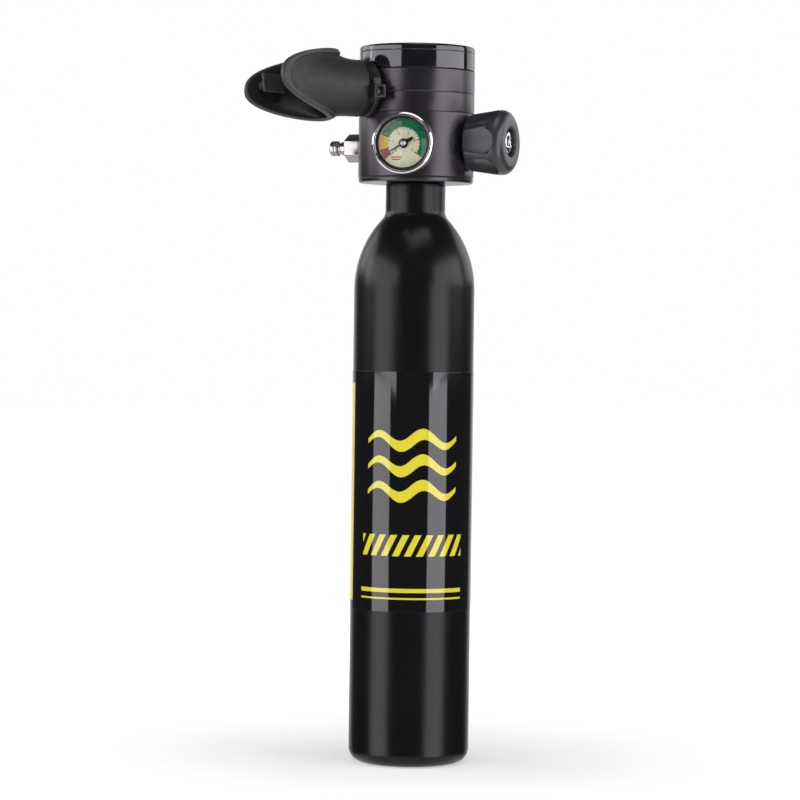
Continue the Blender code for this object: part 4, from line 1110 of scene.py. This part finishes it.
# Burst plug: a hexagon turned from brass bar and screwed into the back of the block, where it clamps a
# thin copper disc. A vent is drilled through it for the air that a burst disc would let go.
burst_bore = 1.6
brass = turned_metal("machined_brass", (0.62, 0.42, 0.16), 0.26)
burst_place = port_place(burst_bearing, port_height)
burst = place_piece("burst_hexagon", hexagon(10.0, 28.2, 32.0, 0.5), brass, burst_place)
vent = place_piece("burst_vent", rod(burst_bore, 26.0, 34.0, 32), brass, burst_place)
carve(burst, vent)
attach(burst, "tank_and_head")
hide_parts("burst_plug")
burst_shank = place_piece("burst_shank", rod(4.0, 18.1, 28.4, 40, burst_bore), brass, burst_place)
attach(burst_shank, "tank_and_head")


# Exhaust cover: a black plastic cap at the back of the housing, slotted to let breathed air out past
# the rubber flap behind it, and pressed into its seat.
exhaust_bearing, exhaust_height = 40.0, 332.6
exhaust_place = port_place(exhaust_bearing, exhaust_height)
exhaust_radius, exhaust_face = 8.0, 31.0
cover_outline = [(0.0, 29.6)]
cover_outline += eased(
    [
        (6.4, 29.6, 0.0),
        (6.4, 27.0, 0.0),
        (exhaust_radius, 27.0, 0.0),
        (exhaust_radius, exhaust_face, 1.0),
        (5.0, exhaust_face, 0.0),
    ]
)
cover_outline.append((0.0, exhaust_face))
cover = place_piece("exhaust_cap", spun(cover_outline, 64), button_black, exhaust_place)
slots = []
slot_pitch, slot_half_width = 2.3, 0.6
for row, half_length in enumerate((3.0, 4.8, 5.4, 4.8, 3.0)):
    slot_middle = (row - 2) * slot_pitch
    slot_low = (-half_length, slot_middle - slot_half_width, 28.0)
    slot_high = (half_length, slot_middle + slot_half_width, 33.0)
    slot_block = bevelled_block(slot_low, slot_high, 0.3, 3)
    slots.append(place_piece(f"exhaust_slot_{row}", slot_block, button_black, exhaust_place))
carve(cover, *slots)
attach(cover, "tank_and_head")
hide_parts("exhaust_cover")


# Inner works: the brass, steel, rubber, nylon and silicone pieces inside the head keep their solids
# and take the finish that each is made in.
spring_steel = turned_metal("drawn_spring_steel", (0.42, 0.42, 0.43), 0.3)
copper = turned_metal("rolled_copper", (0.68, 0.31, 0.17), 0.3)
seal_rubber = moulded("seal_rubber", (0.012, 0.012, 0.012), 0.5)
white_nylon = moulded("white_nylon", (0.74, 0.73, 0.68), 0.45)
silicone = moulded("grey_silicone", (0.3, 0.31, 0.32), 0.42)
inner_finishes = {
    "debris_tube": stainless,
    "lever_pin": stainless,
    "demand_lever": stainless,
    "diaphragm_plate": stainless,
    "demand_barrel": brass,
    "seat_orifice": brass,
    "demand_poppet": brass,
    "first_stage_piston": brass,
    "gland_nut": brass,
    "valve_spindle": brass,
    "seat_plug": brass,
    "gauge_stem": brass,
    "pressure_tube": brass,
    "check_poppet": brass,
    "burst_disc": copper,
    "purge_spring": spring_steel,
    "poppet_spring": spring_steel,
    "piston_spring": spring_steel,
    "check_spring": spring_steel,
    "neck_o_ring": seal_rubber,
    "piston_o_ring": seal_rubber,
    "spindle_o_ring": seal_rubber,
    "nipple_o_ring": seal_rubber,
    "high_pressure_seat": white_nylon,
    "seat_insert": white_nylon,
    "diaphragm": silicone,
    "exhaust_valve": silicone,
}
for node_name, finish in inner_finishes.items():
    for material_slot in nodes[node_name].material_slots:
        material_slot.material = finish


# Studio: a plain white floor that keeps the tank's shadow, and a white surround that the camera and the
# shiny pieces see. Upright soft boxes stand around the tank, with a fill in front and a weak box above.
floor_finish = new_finish("white_floor", (0.86, 0.86, 0.86), 0.8)
floor_coordinates = add_node(floor_finish, "ShaderNodeTexCoord")
floor_reach = add_node(floor_finish, "ShaderNodeVectorMath", Vector=floor_coordinates.outputs["Object"])
floor_reach.operation = "LENGTH"
floor_glow = add_node(
    floor_finish,
    "ShaderNodeMapRange",
    Value=floor_reach.outputs["Value"],
    From_Min=0.06,
    From_Max=0.5,
    To_Min=0.42,
)
floor_ray = add_node(floor_finish, "ShaderNodeLightPath").outputs["Is Camera Ray"]
floor_share = sum_up(floor_finish, "MULTIPLY", floor_ray, floor_glow.outputs["Result"])
floor_light = add_node(floor_finish, "ShaderNodeEmission", Color=(1.0, 1.0, 1.0, 1.0), Strength=floor_share)
floor_sum = add_node(floor_finish, "ShaderNodeAddShader")
join_shaders(floor_finish, floor_sum, shader_of(floor_finish), floor_light)
floor_half_span = 6000.0
floor_mesh = bmesh.new()
bmesh.ops.create_grid(floor_mesh, x_segments=1, y_segments=1, size=floor_half_span)
floor = place_piece("studio_floor", floor_mesh, floor_finish)
floor.visible_glossy = False

view_azimuth = -32.0
view_turn = math.radians(view_azimuth)
surround = bpy.data.worlds.new("studio_surround")
bpy.context.scene.world = surround
surround.use_nodes = True
surround.node_tree.nodes.clear()
dim = add_node(surround, "ShaderNodeBackground", Color=(0.9, 0.93, 1.0, 1.0), Strength=0.05)
white = add_node(surround, "ShaderNodeBackground", Color=(1.0, 1.0, 1.0, 1.0), Strength=1.0)
direction = add_node(surround, "ShaderNodeTexCoord").outputs["Generated"]
facing = add_node(surround, "ShaderNodeVectorMath", Vector=direction)
facing.operation = "DOT_PRODUCT"
facing.inputs[1].default_value = (-math.sin(view_turn), math.cos(view_turn), 0.0)
behind = add_node(
    surround, "ShaderNodeMapRange", Value=facing.outputs["Value"], From_Min=0.75, From_Max=0.95
)
slope = add_node(surround, "ShaderNodeSeparateXYZ", Vector=direction).outputs["Z"]
below = add_node(surround, "ShaderNodeMapRange", Value=slope, From_Min=-0.3, From_Max=-0.5, To_Max=0.7)
rays = add_node(surround, "ShaderNodeLightPath").outputs
bounced = either(surround, rays["Is Glossy Ray"], rays["Is Transmission Ray"])
pale = either(surround, behind.outputs["Result"], below.outputs["Result"])
shown = either(surround, rays["Is Camera Ray"], every(surround, bounced, pale))
surround_mix = add_node(surround, "ShaderNodeMixShader", Fac=shown)
for socket, light in zip(surround_mix.inputs[1:], (dim, white)):
    surround.node_tree.links.new(light.outputs[0], socket)
add_node(surround, "ShaderNodeOutputWorld", Surface=surround_mix.outputs[0])


def soft_box(name, azimuth, middle, width, height, brightness, distance=1.3):
    """An upright lit panel that faces the tank; brightness is what a mirror would show of it."""
    lamp = bpy.data.lights.new(name, "AREA")
    lamp.shape = "RECTANGLE"
    lamp.size, lamp.size_y = width, height
    lamp.color = (0.97, 0.945, 1.0)
    lamp.energy = brightness * width * height * math.pi
    box = bpy.data.objects.new(name, lamp)
    turn = math.radians(view_azimuth + azimuth)
    out = Vector((math.sin(turn), -math.cos(turn), 0.0))
    stand = Matrix.Translation(out * distance + Vector((0.0, 0.0, middle)))
    box.matrix_world = stand @ out.to_track_quat("Z", "Y").to_matrix().to_4x4()
    box.visible_camera = False
    bpy.context.scene.collection.objects.link(box)
    return box


soft_box("left_soft_box", -60.0, -0.14, 0.82, 0.92, 2.4)
soft_box("right_soft_box", 49.0, -0.14, 0.86, 0.92, 2.6)
soft_box("upper_left_soft_box", -70.0, 0.63, 2.05, 0.6, 2.3)
soft_box("upper_right_soft_box", 72.0, 0.63, 1.75, 0.6, 2.6)
soft_box("back_left_soft_box", -121.0, 0.76, 0.9, 0.6, 1.8)
soft_box("back_right_soft_box", 132.0, 0.64, 0.7, 0.6, 1.3)
front_fill = soft_box("front_fill", 0.0, 0.45, 1.2, 1.0, 2.2, 1.7)
front_fill.visible_glossy = False
overhead = soft_box("overhead_soft_box", 10.0, 1.5, 1.0, 0.8, 1.6, 0.5)
overhead_lean = Matrix.Rotation(0.3, 4, "X")
overhead.matrix_world = Matrix.Translation(overhead.matrix_world.translation) @ overhead_lean

eye_distance, eye_height = 1.5, 0.215
pixel_focus = 3005.0
axis_right, horizon_up, lean = 12.85, 69.18, 0.75
camera_data = bpy.data.cameras.new("long_lens")
camera_data.sensor_width = 36.0
camera_data.lens = 36.0 * pixel_focus / 800.0
camera = bpy.data.objects.new("long_lens", camera_data)
bpy.context.scene.collection.objects.link(camera)
eye = (eye_distance * math.sin(view_turn), -eye_distance * math.cos(view_turn), eye_height)
swing = view_turn + math.atan2(axis_right, pixel_focus)
tilt = math.radians(90) - math.atan2(horizon_up, pixel_focus)
camera.matrix_world = (
    Matrix.Translation(eye)
    @ Matrix.Rotation(swing, 4, "Z")
    @ Matrix.Rotation(tilt, 4, "X")
    @ Matrix.Rotation(math.radians(lean), 4, "Z")
)
bpy.context.scene.camera = camera
bpy.context.scene.view_settings.view_transform = "Standard"
